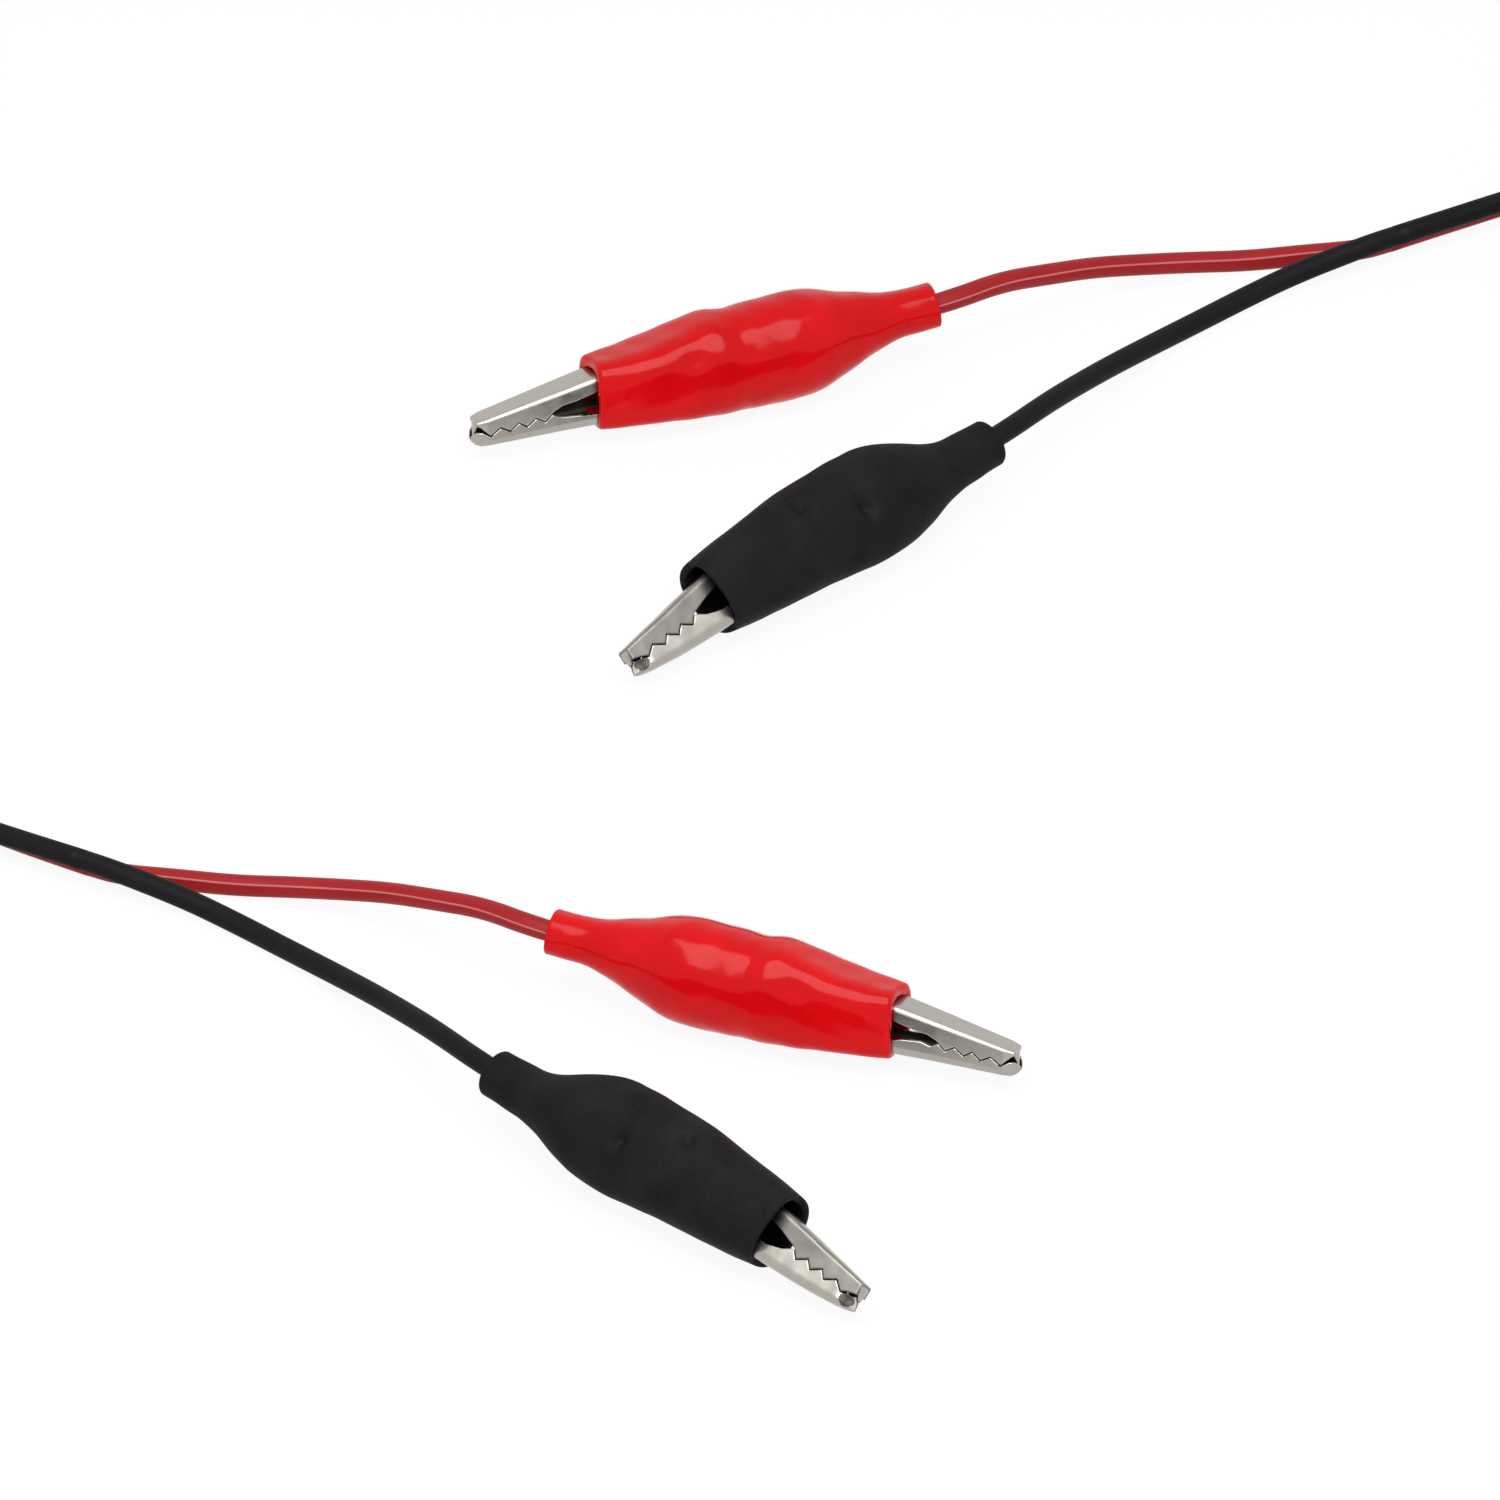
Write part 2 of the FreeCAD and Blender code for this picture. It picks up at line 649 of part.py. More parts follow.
def cord(name, points, diameter):
    """Plain round tube along a route."""
    path, radii = rounded_path(points)
    heading = points[1] - points[0]
    section = Part.Wire(Part.makeCircle(diameter / 2, points[0], heading))
    shape = path.makePipeShell([section], True, False)
    expected = math.pi * diameter**2 / 4 * path.Length
    if abs(shape.Volume / expected - 1) > VOLUME_TOLERANCE:
        raise ValueError(f"{name}: volume {shape.Volume:.1f}, expected {expected:.1f}")
    print(f"{name}: {path.Length:.1f} mm long, radii " + " ".join(f"{r:.1f}" for r in radii))
    feature = doc.addObject("Part::Feature", name)
    feature.Shape = shape
    return feature


def at_end(points, end):
    """Route points as they lie at their end of the lead. The second end is a mirror image."""
    side = 1 if end == 1 else -1
    middle = side * size("end_spacing") / 2
    return [Vector(side * x, middle + y, z) for x, y, z in points]


# Routes of the wires. Y is measured from the middle of the end that they belong to, and the
# second end's points are given as its mirror image.
# Each leg from its sleeve's tail to the split.
RED_ROUTE = [
    (25.9, 33.0, 6.2),
    (30.2, 38.25, 4.6),
    (34.8, 41.85, 2.7),
    (39.9, 43.85, 1.5),
    (46.2, 44.45, 1.12),
    (52.9, 45.05, 1.15),
    (58.6, 45.95, 1.12),
    (63.6, 46.75, 1.2),
    (68.0, 48.0, 1.32),
]
BLACK_ROUTE = [
    (30.5, 10.35, 6.6),
    (34.6, 17.45, 4.7),
    (38.8, 24.15, 2.7),
    (44.0, 30.25, 1.4),
    (50.2, 35.75, 1.12),
    (56.4, 40.25, 1.5),
    (61.7, 43.35, 2.3),
    (65.2, 45.15, 2.85),
    (68.65, 46.8, 3.08),
]
# The flex from the first split into the coil, from the coil away, and back to the second split.
TWIN_START_ROUTE = [
    (68.6, 47.55, 2.2),
    (79.2, 53.35, 2.25),
    (87.3, 57.75, 2.45),
]
TWIN_AWAY_ROUTE = [
    (86.7, 56.95, 7.3),
    (86.9, 64.85, 7.0),
    (87.6, 75.35, 3.6),
    (85.5, 85.85, 2.3),
    (79.0, 94.35, 2.2),
    (67.5, 98.25, 2.25),
    (40.0, 96.75, 2.2),
    (5.0, 98.15, 2.25),
    (-30.0, 96.85, 2.2),
    (-59.0, 97.95, 2.25),
    (-75.5, 94.95, 2.2),
    (-86.0, 85.85, 2.25),
    (-91.4, 68.35, 2.2),
    (-90.6, 35.35, 2.25),
]
TWIN_BACK_ROUTE = [
    (92.0, 111.35, 2.2),
    (90.9, 85.35, 2.25),
    (91.3, 70.25, 2.2),
    (88.2, 61.95, 2.25),
    (82.5, 55.25, 2.2),
    (68.6, 47.55, 2.2),
]


def leg(colour, end, place):
    """Insulated wire: held in the crimp, straight out of the sleeve's tail, then free."""
    insulation_end = size("pivot_at") + size("core_crimp_at") - 0.5 + size("strip_length")
    depth = size("wire_axis_depth")
    neck = size("neck_at")
    inside = [
        Vector(insulation_end, 0, -depth),
        Vector(insulation_end + 6.6, 0, -depth),
        Vector(neck - 3.5, 0, 0),
        Vector(size("clip_length") + 1.8, 0, 0),
    ]
    route = RED_ROUTE if colour == "red" else BLACK_ROUTE
    held = [place.multVec(p) for p in inside]
    free = at_end(route, end)
    for point in held:
        print(f"  {colour}_{end} held at {point.x:.3f} {point.y:.3f} {point.z:.3f}")
    return cord(f"{colour}_{end}_leg", held + free, size("core_diameter"))


def coil():
    """Outer shape of the wound flex: a flat ring two turns wide and two turns high."""
    twin = "twin_diameter"
    rings = []
    for name, radius in (("outer", f"coil_radius + {twin}"), ("inner", f"coil_radius - {twin}")):
        base = ("coil_centre_across", "end_spacing / 2 + coil_centre_along", "coil_lift")
        rings.append(
            cylinder(f"coil_{name}", radius, f"1.88 * {twin}", base, Vector(0, 0, 1))
        )
    ring = doc.addObject("Part::Cut", "coil_ring")
    ring.Base, ring.Tool = rings
    doc.recompute()
    rounded = doc.addObject("Part::Fillet", "coil")
    rounded.Base = ring
    corner = 0.45 * size("twin_diameter")
    circles = [
        index
        for index, edge in enumerate(ring.Shape.Edges, start=1)
        if isinstance(edge.Curve, Part.Circle)
    ]
    rounded.Edges = [(index, corner, corner) for index in circles]
    return rounded


def coil_tie():
    """Strap round the coil's turns."""
    wide = "2 * twin_diameter + 2 * tie_slack"
    tall = "1.88 * twin_diameter + 2 * tie_slack"
    boxes = []
    for name, extra, length in (
        ("outer", "tie_thickness", "tie_width"),
        ("inner", "0", "3 * tie_width"),
    ):
        box = doc.addObject("Part::Box", f"coil_tie_{name}")
        box.setExpression("Length", cell(f"{wide} + 2 * {extra}"))
        box.setExpression("Width", cell(length))
        box.setExpression("Height", cell(f"{tall} + 2 * {extra}"))
        box.setExpression("Placement.Base.x", cell(f"coil_radius - ({wide}) / 2 - {extra}"))
        box.setExpression("Placement.Base.y", cell(f"-({length}) / 2"))
        box.setExpression("Placement.Base.z", cell(f"coil_lift - tie_slack - {extra}"))
        boxes.append(box)
    strap = doc.addObject("Part::Cut", "coil_tie")
    strap.Base, strap.Tool = boxes
    strap.Placement = Placement(
        Vector(size("coil_centre_across"), size("end_spacing") / 2 + size("coil_centre_along"), 0),
        Rotation(Vector(0, 0, 1), size("tie_bearing")),
    )
    return strap


nodes = []
for end in (1, 2):
    for colour in ("red", "black"):
        pieces, place = clip(colour, end)
        nodes += pieces
        nodes.append(leg(colour, end, place))
nodes.append(cord("twin_start", at_end(TWIN_START_ROUTE, 1), size("twin_diameter")))
round_the_back = at_end(TWIN_AWAY_ROUTE, 1) + at_end(TWIN_BACK_ROUTE, 2)
nodes.append(cord("twin_end", round_the_back, size("twin_diameter")))
nodes.append(coil())
nodes.append(coil_tie())
doc.recompute()

for thing in doc.Objects:
    if "Invalid" in thing.State or "Error" in thing.State:
        raise ValueError(f"{thing.Name} failed: {thing.State}")
os.makedirs(EXPORT_FOLDER, exist_ok=True)
for node in nodes:
    if node.Shape.isNull() or not node.Shape.isValid() or len(node.Shape.Solids) != 1:
        raise ValueError(f"{node.Label} has no single valid solid")
for node in nodes:
    node.Shape.exportStep(f"{EXPORT_FOLDER}/{node.Label}.step")
    print(f"{node.Label}: {node.Shape.Volume:.2f} mm3")
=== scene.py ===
"""Test lead: red and black insulated crocodile clips at both ends of a two-core flex.

Sizes are in millimetres and become metres where a mesh is made. A clip's own frame has X
from the nose to the tail, Y along the rivet and Z the way the upper jaw opens.
"""
import json
import math

import bpy
import numpy as np
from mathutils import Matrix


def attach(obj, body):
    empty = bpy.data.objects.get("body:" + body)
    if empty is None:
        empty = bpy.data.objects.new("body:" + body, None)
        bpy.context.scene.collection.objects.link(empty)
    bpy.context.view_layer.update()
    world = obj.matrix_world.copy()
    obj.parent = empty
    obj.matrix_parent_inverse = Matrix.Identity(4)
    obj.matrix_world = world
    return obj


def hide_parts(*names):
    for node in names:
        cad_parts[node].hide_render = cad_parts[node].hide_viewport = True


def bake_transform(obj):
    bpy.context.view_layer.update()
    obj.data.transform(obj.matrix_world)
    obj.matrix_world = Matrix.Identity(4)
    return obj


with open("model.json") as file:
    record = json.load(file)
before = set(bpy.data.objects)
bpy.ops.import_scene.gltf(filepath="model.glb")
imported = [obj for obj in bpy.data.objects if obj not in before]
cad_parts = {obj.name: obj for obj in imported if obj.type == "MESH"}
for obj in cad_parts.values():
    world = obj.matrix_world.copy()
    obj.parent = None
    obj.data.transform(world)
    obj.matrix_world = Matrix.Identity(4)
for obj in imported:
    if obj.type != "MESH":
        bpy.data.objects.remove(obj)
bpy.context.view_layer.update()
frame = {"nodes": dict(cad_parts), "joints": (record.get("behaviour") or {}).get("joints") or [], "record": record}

# ---------------------------------------------------------------------------------------
# Twin flex: two PVC-insulated cores, red and black, drawn side by side through one die, so
# that a thin web joins them. It lies on the table, goes round in a tied coil and runs on
# to the other pair of clips.
# ---------------------------------------------------------------------------------------
MM = 0.001
CORE_RADIUS = 1.1
CORE_OFFSET = 1.105
WEB_HALF_THICKNESS = 0.38
# Height of a core's middle when the core lies on the table.
LYING = 1.12
# The most that the flex is rolled about its own line, as it is at the splits.
ROLL_AT_SPLIT = math.radians(-49)
COIL_CENTRE = (108.7, 98.15)
COIL_TURNS = 2.83
COIL_START = math.radians(118.8)
COIL_POINTS_PER_TURN = 13
# Control points of the flex's line, from one split to the coil and on to the other split.
FLEX_INTO_COIL = [(68.5, 104.1, 1.96), (79.2, 110.0, 2.0), (87.3, 113.9, 2.2)]
FLEX_FROM_COIL = [
    (86.7, 112.95, 7.3), (86.9, 120.85, 7.0), (87.6, 131.35, 3.6), (88.3, 143.0, 2.1),
    (81.5, 153.4, 1.6), (66.0, 153.9, 1.2), (40.0, 152.75, 1.12), (5.0, 153.9, 1.12),
    (-30.0, 152.85, 1.12), (-59.0, 153.9, 1.12), (-80.0, 153.5, 1.12),
    (-90.3, 143.5, 1.12), (-91.4, 124.35, 1.12), (-90.6, 91.35, 1.12),
    (-92.0, 55.35, 1.12), (-90.9, 29.35, 1.12), (-91.3, 14.25, 1.15), (-88.2, 5.0, 1.45),
    (-79.2, -2.0, 1.9), (-68.5, -7.9, 1.96),
]


def coil_turns():
    """Control points of the coil, wound clockwise.

    The bearing falls evenly. The radius goes from the outer turn's to the inner turn's and
    then between them, where the last turn lies on the other two.
    """
    turn = np.linspace(0, COIL_TURNS, round(COIL_TURNS * COIL_POINTS_PER_TURN))
    bearing = COIL_START - 2 * math.pi * turn
    radius = np.interp(turn, [0.9, 1.1, 1.85, 2.1], [24.2, 19.8, 19.8, 22])
    height = np.interp(
        turn, [0, 0.25, 1.8, 2.1, 2.7, COIL_TURNS], [2.6, 2.95, 2.95, 6.75, 6.85, 7.0]
    )
    across = COIL_CENTRE[0] + radius * np.cos(bearing)
    along = COIL_CENTRE[1] + radius * np.sin(bearing)
    return np.column_stack([across, along, height]).tolist()


def smooth_line(points):
    """Points in mm along the quadratic NURBS curve that has the given control points."""
    data = bpy.data.curves.new("route", "CURVE")
    data.dimensions = "3D"
    data.resolution_u = 16
    spline = data.splines.new("NURBS")
    spline.points.add(len(points) - 1)
    spline.points.foreach_set("co", np.column_stack([points, np.ones(len(points))]).ravel())
    spline.order_u = 3
    spline.use_endpoint_u = True
    route = bpy.data.objects.new("route", data)
    bpy.context.scene.collection.objects.link(route)
    bpy.context.view_layer.update()
    mesh = bpy.data.meshes.new_from_object(route)
    line = np.empty(len(mesh.vertices) * 3)
    mesh.vertices.foreach_get("co", line)
    bpy.data.objects.remove(route)
    bpy.data.curves.remove(data)
    bpy.data.meshes.remove(mesh)
    return line.reshape(-1, 3)


def line_frames(line, upright=(0.0, 0.0, 1.0)):
    """Distance run, unit left and unit up of a line.

    Left is the upright direction crossed with the heading, and up is the heading crossed
    with left.
    """
    step = np.gradient(line, axis=0)
    heading = step / np.linalg.norm(step, axis=1)[:, None]
    left = np.cross(upright, heading)
    left /= np.linalg.norm(left, axis=1)[:, None]
    run = np.r_[0, np.cumsum(np.linalg.norm(np.diff(line, axis=0), axis=1))]
    return run, left, np.cross(heading, left)


def carried(line, left, up, profile):
    """Surface of a profile carried along a line: point + x * left + y * up.

    The profile is one ring of (x, y) points, or one ring for each point of the line.
    """
    profile = np.broadcast_to(profile, (len(line), *np.shape(profile)[-2:]))
    return line[:, None] + profile[..., :1] * left[:, None] + profile[..., 1:] * up[:, None]


def surface(name, points, materials, closed_along=False, slots=0):
    """Closed mesh of a grid of points in mm: rows along it, and columns round it.

    Columns join up round the surface. Rows join up too if closed_along, and otherwise each
    end gets a lid. Faces are turned outwards by the sign of the enclosed volume, which is
    the sum of each triangle's a . (b x c). The UV map holds the mm run along and round it.
    The slots say which material each point's face has: one for all, or by column, or a grid.
    """
    rows, columns = points.shape[:2]
    index = np.arange(rows * columns).reshape(rows, columns)
    after = np.roll(index, -1, axis=0) if closed_along else index[1:]
    before = index if closed_along else index[:-1]
    quads = np.stack(
        [before, np.roll(before, -1, axis=1), np.roll(after, -1, axis=1), after], axis=-1
    ).reshape(-1, 4)
    flat = points.reshape(-1, 3)
    a, b, c, d = (flat[quads[:, k]] for k in range(4))
    volume = (a * np.cross(b, c)).sum() + (a * np.cross(c, d)).sum()
    lids = [] if closed_along else [index[0][::-1], index[-1]]
    for lid in lids:
        middle = flat[lid].mean(axis=0)
        volume += (middle * np.cross(flat[lid], flat[np.roll(lid, -1)])).sum()
    if volume < 0:
        quads, lids = quads[:, ::-1], [lid[::-1] for lid in lids]
    faces = quads.tolist() + [lid.tolist() for lid in lids]
    mesh = bpy.data.meshes.new(name)
    mesh.from_pydata((flat * MM).tolist(), [], faces)
    for material in materials:
        mesh.materials.append(material)
    slots = np.broadcast_to(slots, (rows, columns))[: len(before)].ravel()
    slots = np.r_[slots, np.zeros(len(lids))].astype(np.int32)
    mesh.polygons.foreach_set("material_index", slots)
    mesh.polygons.foreach_set("use_smooth", np.arange(len(faces)) < len(quads))
    row, column = quads.ravel() // columns, quads.ravel() % columns
    along = np.r_[0, np.cumsum(np.linalg.norm(np.diff(points, axis=0), axis=2).mean(axis=1))]
    around = np.r_[0, np.cumsum(np.linalg.norm(np.diff(points, axis=1), axis=2).mean(axis=0))]
    uv = np.column_stack([along[row], around[column]]) * MM
    layer = mesh.uv_layers.new(name="Run")
    spare = np.zeros((len(lids) * columns, 2))
    layer.data.foreach_set("uv", np.r_[uv, spare].ravel())
    mesh.update()
    made = bpy.data.objects.new(name, mesh)
    bpy.context.scene.collection.objects.link(made)
    return made


def colour(code):
    """Linear colour of an sRGB hex code: c / 12.92 when dark, else ((c + 0.055) / 1.055) ^ 2.4."""
    c = np.array([int(code[k : k + 2], 16) for k in (1, 3, 5)]) / 255
    c = np.where(c <= 0.04045, c / 12.92, ((c + 0.055) / 1.055) ** 2.4)
    return (*c.tolist(), 1.0)


def new_material(name, **shader):
    """Material of one Principled shader, with values for its sockets: Base_Color, Roughness."""
    made = bpy.data.materials.new(name)
    made.use_nodes = True
    sockets = made.node_tree.nodes["Principled BSDF"].inputs
    for socket, value in shader.items():
        sockets[socket.replace("_", " ")].default_value = value
    return made


def add(material, kind, inputs, **settings):
    """Adds a shader node with its settings. An input is a plain value, or a socket to link."""
    made = material.node_tree.nodes.new("ShaderNode" + kind)
    for name, value in settings.items():
        setattr(made, name, value)
    for key, value in inputs.items():
        if isinstance(value, bpy.types.NodeSocket):
            material.node_tree.links.new(value, made.inputs[key])
        else:
            made.inputs[key].default_value = value
    return made


def into_shader(material, **sources):
    """Links sockets to the inputs of the material's Principled shader."""
    shader = material.node_tree.nodes["Principled BSDF"]
    for socket, source in sources.items():
        material.node_tree.links.new(source, shader.inputs[socket.replace("_", " ")])


def wire_pvc(name, dark, light, roughness, specular):
    """Extruded wire PVC: satin, a little cloudy, with faint draw lines along the wire."""
    pvc = new_material(name, Specular_IOR_Level=specular, IOR=1.53)
    place = add(pvc, "TexCoord", {}).outputs["UV"]
    # Clouds 6 mm long, and draw lines 0.25 mm apart and 30 mm long: coarser than real ones.
    clouds = add(pvc, "Mapping", {"Vector": place, "Scale": (170, 500, 1)})
    cloud = add(pvc, "TexNoise", {"Vector": clouds.outputs[0], "Scale": 1.0, "Detail": 2.0})
    lines = add(pvc, "Mapping", {"Vector": place, "Scale": (33, 4000, 1)})
    line = add(pvc, "TexNoise", {"Vector": lines.outputs[0], "Scale": 1.0, "Detail": 1.0})
    shade = add(
        pvc, "Mix", {0: cloud.outputs["Fac"], 6: colour(dark), 7: colour(light)}, data_type="RGBA"
    )
    gloss = add(
        pvc, "MapRange",
        {0: line.outputs["Fac"], 1: 0.3, 2: 0.7, 3: roughness - 0.05, 4: roughness + 0.05},
    )
    bump = add(
        pvc, "Bump", {"Height": line.outputs["Fac"], "Strength": 0.12, "Distance": 0.00003}
    )
    into_shader(
        pvc, Base_Color=shade.outputs[2], Roughness=gloss.outputs[0], Normal=bump.outputs[0]
    )
    return pvc


red_wire_pvc = wire_pvc("extruded_red_pvc", "#8f1b1f", "#a12427", 0.42, 0.11)
black_wire_pvc = wire_pvc("extruded_black_pvc", "#121214", "#1b1b1d", 0.5, 0.05)


def flex_profile():
    """Figure of eight: each core's circle, open where the web of even thickness meets it.

    It starts on the web's middle and goes round the red core, then the black one, so each
    half of its columns has one colour.
    """
    opening = math.asin(WEB_HALF_THICKNESS / CORE_RADIUS)
    angle = np.linspace(opening, 2 * math.pi - opening, 24)
    red = np.column_stack(
        [CORE_OFFSET - CORE_RADIUS * np.cos(angle), CORE_RADIUS * np.sin(angle)]
    )
    half = np.r_[[[0.0, WEB_HALF_THICKNESS]], red]
    return np.r_[half, -half]


flex_line = smooth_line(FLEX_INTO_COIL + coil_turns() + FLEX_FROM_COIL)
_, left, up = line_frames(flex_line)
# The lower core stays on the table, so the flex is rolled as far as its middle is high.
above_table = np.clip((flex_line[:, 2] - LYING) / CORE_OFFSET, 0, 1)
roll = np.maximum(ROLL_AT_SPLIT, -np.arcsin(above_table))
across, rise = flex_profile().T
profile = np.stack(
    [
        np.outer(np.cos(roll), across) - np.outer(np.sin(roll), rise),
        np.outer(np.sin(roll), across) + np.outer(np.cos(roll), rise),
    ],
    axis=-1,
)
twin_flex = surface(
    "twin_flex",
    carried(flex_line, left, up, profile),
    [red_wire_pvc, black_wire_pvc],
    slots=np.repeat([0, 1], len(across) // 2),
)
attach(twin_flex, "lead")
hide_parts("twin_start", "coil", "twin_end")

# ---------------------------------------------------------------------------------------
# Legs: the flex's two cores torn apart, 2.2 mm PVC-insulated wires that each run from the
# split into the tail of their clip's sleeve. The torn web leaves a low ridge on each.
# ---------------------------------------------------------------------------------------
CLIPS = ("red_1", "black_1", "red_2", "black_2")
NOSE_TO_RIVET = 21.0
NOSE_TO_TAIL = 51.4
LEG_SIDES = 40
# The crimped wire's middle lies this far below the closed teeth.
WIRE_DEPTH = 1.3
LEG_IN_CLIP = {
    "red": [(32, 0, -WIRE_DEPTH), (38.6, 0, -WIRE_DEPTH), (43, 0, 0.3), (53.2, 0, 0.42)],
    "black": [(32, 0, -WIRE_DEPTH), (38.6, 0, -WIRE_DEPTH), (43, 0, -0.2), (53.2, 0, -0.35)],
}
# Control points from the tail to the split, where the core goes in under the flex's skin.
LEG_FREE = {
    "red": [
        (27.1, 89.3, 7.0), (32.1, 92.35, 5.8), (36.8, 95.6, 4.35), (41.8, 98.15, 2.9),
        (47.3, 100.1, 1.8), (53.1, 101.2, 1.2), (58.8, 102.3, 1.12), (65.1, 103.25, 1.12),
        (68.15, 104.73, 1.12), (69.9, 105.7, 1.13),
    ],
    "black": [
        (31.9, 68.6, 6.15), (35.6, 74.45, 4.65), (39.2, 79.8, 3.25), (43.35, 85.15, 2.0),
        (47.8, 90.0, 1.25), (53.0, 94.7, 1.14), (58.5, 98.3, 1.8), (65.8, 101.8, 2.75),
        (68.85, 103.47, 2.79), (70.6, 104.44, 2.8),
    ],
}
# The second split is the first one mirrored in X and moved this far along Y.
SPLITS_APART = 112.0

hinges = {joint["name"]: joint for joint in frame["joints"]}
teeth_mounts = {mount["name"]: mount for mount in frame["record"]["mounts"]}


def clip_place(clip):
    """Nose of a clip in mm, and its X, Y and Z axes as rows, from its hinge and its teeth."""
    hinge = hinges[f"{clip}_jaw_hinge"]
    back = -np.array(teeth_mounts[f"{clip}_teeth"]["axis"])
    across = np.array(hinge["axis"])
    back, across = back / np.linalg.norm(back), across / np.linalg.norm(across)
    nose = np.array(hinge["pos_m"]) / MM - NOSE_TO_RIVET * back
    return nose, np.array([back, across, np.cross(back, across)])


def placed(points, clip):
    """Points of the clip's own frame where they lie in the lead's frame."""
    nose, axes = clip_place(clip)
    return nose + np.asarray(points, float) @ axes


def ridged_rings(run, at_sleeve, at_split):
    """Rings of a core: its circle, and a smooth ridge where the web was torn.

    The ridge is 0.13 mm high, and 0.4 mm where the tear begins. It turns evenly from one
    angle at the sleeve to another at the split. It starts 18 mm along, inside the sleeve's
    tail, and dies out in the last 2 mm, where the core goes under the flex's own skin.
    """
    towards = at_sleeve + (at_split - at_sleeve) * run / run[-1]
    angle = (np.arange(LEG_SIDES) + 0.5) * 2 * math.pi / LEG_SIDES
    offset = np.minimum(angle, 2 * math.pi - angle)
    to_split = np.maximum(run[-1] - 2 - run, 0)[:, None]
    ridge = (0.13 + 0.27 * np.exp(-((to_split / 9) ** 2))) * np.clip(to_split / 2, 0, 1)
    in_tail = np.clip((run - 18) / 3, 0, 1)[:, None]
    radius = CORE_RADIUS - 0.01 + 0.05 * in_tail * np.clip(to_split / 8, 0, 1)
    radius = radius + in_tail * ridge * np.exp(-((offset / 0.15) ** 2))
    angle = towards[:, None] + angle
    return np.stack([radius * np.cos(angle), radius * np.sin(angle)], axis=-1)


# The torn web leaves a ridge on each core; its paler PVC is a painted highlight, a pale line along it.
ridge_highlight_pvc = {
    "red": wire_pvc("ridge_highlight_red_pvc", "#b15254", "#c97678", 0.6, 0.15),
    "black": wire_pvc("ridge_highlight_black_pvc", "#1c1c1f", "#28282c", 0.6, 0.1),
}
for clip in CLIPS:
    tone, end = clip.split("_")
    free = np.array(LEG_FREE[tone])
    if end == "2":
        free = free * (-1, 1, 1) - (0, SPLITS_APART, 0)
    line = smooth_line(np.r_[placed(LEG_IN_CLIP[tone], clip), free].tolist())
    run, left, up = line_frames(line)
    # The ridge faces the other core at the split, and the near side at the red sleeves.
    ridge = np.radians([165, 131] if tone == "red" else [311, 311])
    if end == "2":
        ridge = math.pi - ridge
    leg = surface(
        f"{clip}_wire",
        carried(line, left, up, ridged_rings(run, *ridge)),
        [red_wire_pvc if tone == "red" else black_wire_pvc, ridge_highlight_pvc[tone]],
        slots=np.repeat([0, 1], [LEG_SIDES - 1, 1]),
    )
    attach(leg, "lead")
    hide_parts(f"{clip}_leg")

# ---------------------------------------------------------------------------------------
# Sleeves: soft PVC boots dipped or moulded in one piece and pushed over the clips from
# behind. The lever and the rivet inside fill the belly out; the red ones are glossy and
# the black ones satin.
# ---------------------------------------------------------------------------------------
MOUTH = {"red": 13.1, "black": 12.85}
OUTSIDE_STATIONS = 150
INSIDE_STATIONS = 90
BORE_GAP = 0.06
SLEEVE_WALL = {"red": 1.0, "black": 0.75}
# Height of each of the three waves in the skin.
SLEEVE_WAVES = {"red": 0.02, "black": 0.01}
# How far the mouth's top lies behind its middle, and its two sides before it.
MOUTH_SLANT = {"red": (0.5, 0.1, 0.5), "black": (-0.3, 0.95, 0.45)}
# Nose to station, half height and rise of the centre.
SLEEVE_OUTLINE = {
    "red": [
        (13.0, 3.62, 0.92), (14.2, 3.74, 0.84), (15.6, 3.86, 0.76), (18.2, 4.12, 0.69),
        (20.8, 4.46, 0.66), (23.3, 4.92, 0.66), (25.9, 5.44, 0.72), (27.2, 5.57, 0.68),
        (28.5, 5.48, 0.52), (29.8, 5.55, 0.42), (32.4, 5.68, 0.30), (36.2, 5.68, 0.32),
        (37.5, 5.48, 0.38), (38.8, 5.07, 0.38), (40.1, 4.62, 0.38), (41.4, 4.14, 0.43),
        (42.7, 3.70, 0.48), (44.0, 3.28, 0.50), (45.3, 2.88, 0.52), (46.5, 2.62, 0.53),
        (47.8, 2.42, 0.51), (50.4, 2.39, 0.49), (51.4, 2.39, 0.48),
    ],
    "black": [
        (13.0, 4.32, 1.12), (14.4, 4.54, 1.15), (17.3, 4.86, 1.15), (20.2, 5.10, 1.16),
        (23.1, 5.38, 1.21), (26.0, 5.62, 1.22), (28.9, 5.78, 1.05), (31.8, 5.98, 0.85),
        (33.3, 6.03, 0.79), (34.8, 5.96, 0.72), (36.2, 5.90, 0.73), (37.7, 5.70, 0.62),
        (39.1, 5.28, 0.50), (40.6, 4.73, 0.31), (42.0, 4.13, 0.15), (43.4, 3.50, -0.06),
        (44.9, 3.03, -0.26), (46.3, 2.80, -0.32), (47.8, 2.74, -0.36), (49.3, 2.64, -0.39),
        (51.4, 2.60, -0.45),
    ],
}
SLEEVE_HALF_WIDTH = {
    "red": [
        (13.0, 3.25), (14.5, 3.6), (16.0, 3.95), (18.0, 4.3), (20.0, 4.5), (25.0, 4.95),
        (29.0, 5.2), (35.5, 5.2), (38.0, 4.95), (41.0, 4.1), (44.0, 3.1), (46.5, 2.62),
        (48.0, 2.55), (51.4, 2.55),
    ],
    "black": [
        (13.0, 4.1), (16.0, 4.35), (20.0, 4.65), (25.0, 5.0), (29.0, 5.0), (35.5, 5.0),
        (38.0, 4.9), (41.0, 4.3), (44.0, 3.3), (46.5, 2.8), (48.0, 2.72), (51.4, 2.72),
    ],
}
# How square the oval is, as its power: in front, and on the belly.
FRONT_AND_BELLY = {"red": (3.9, 2.15), "black": (2.6, 2.05)}
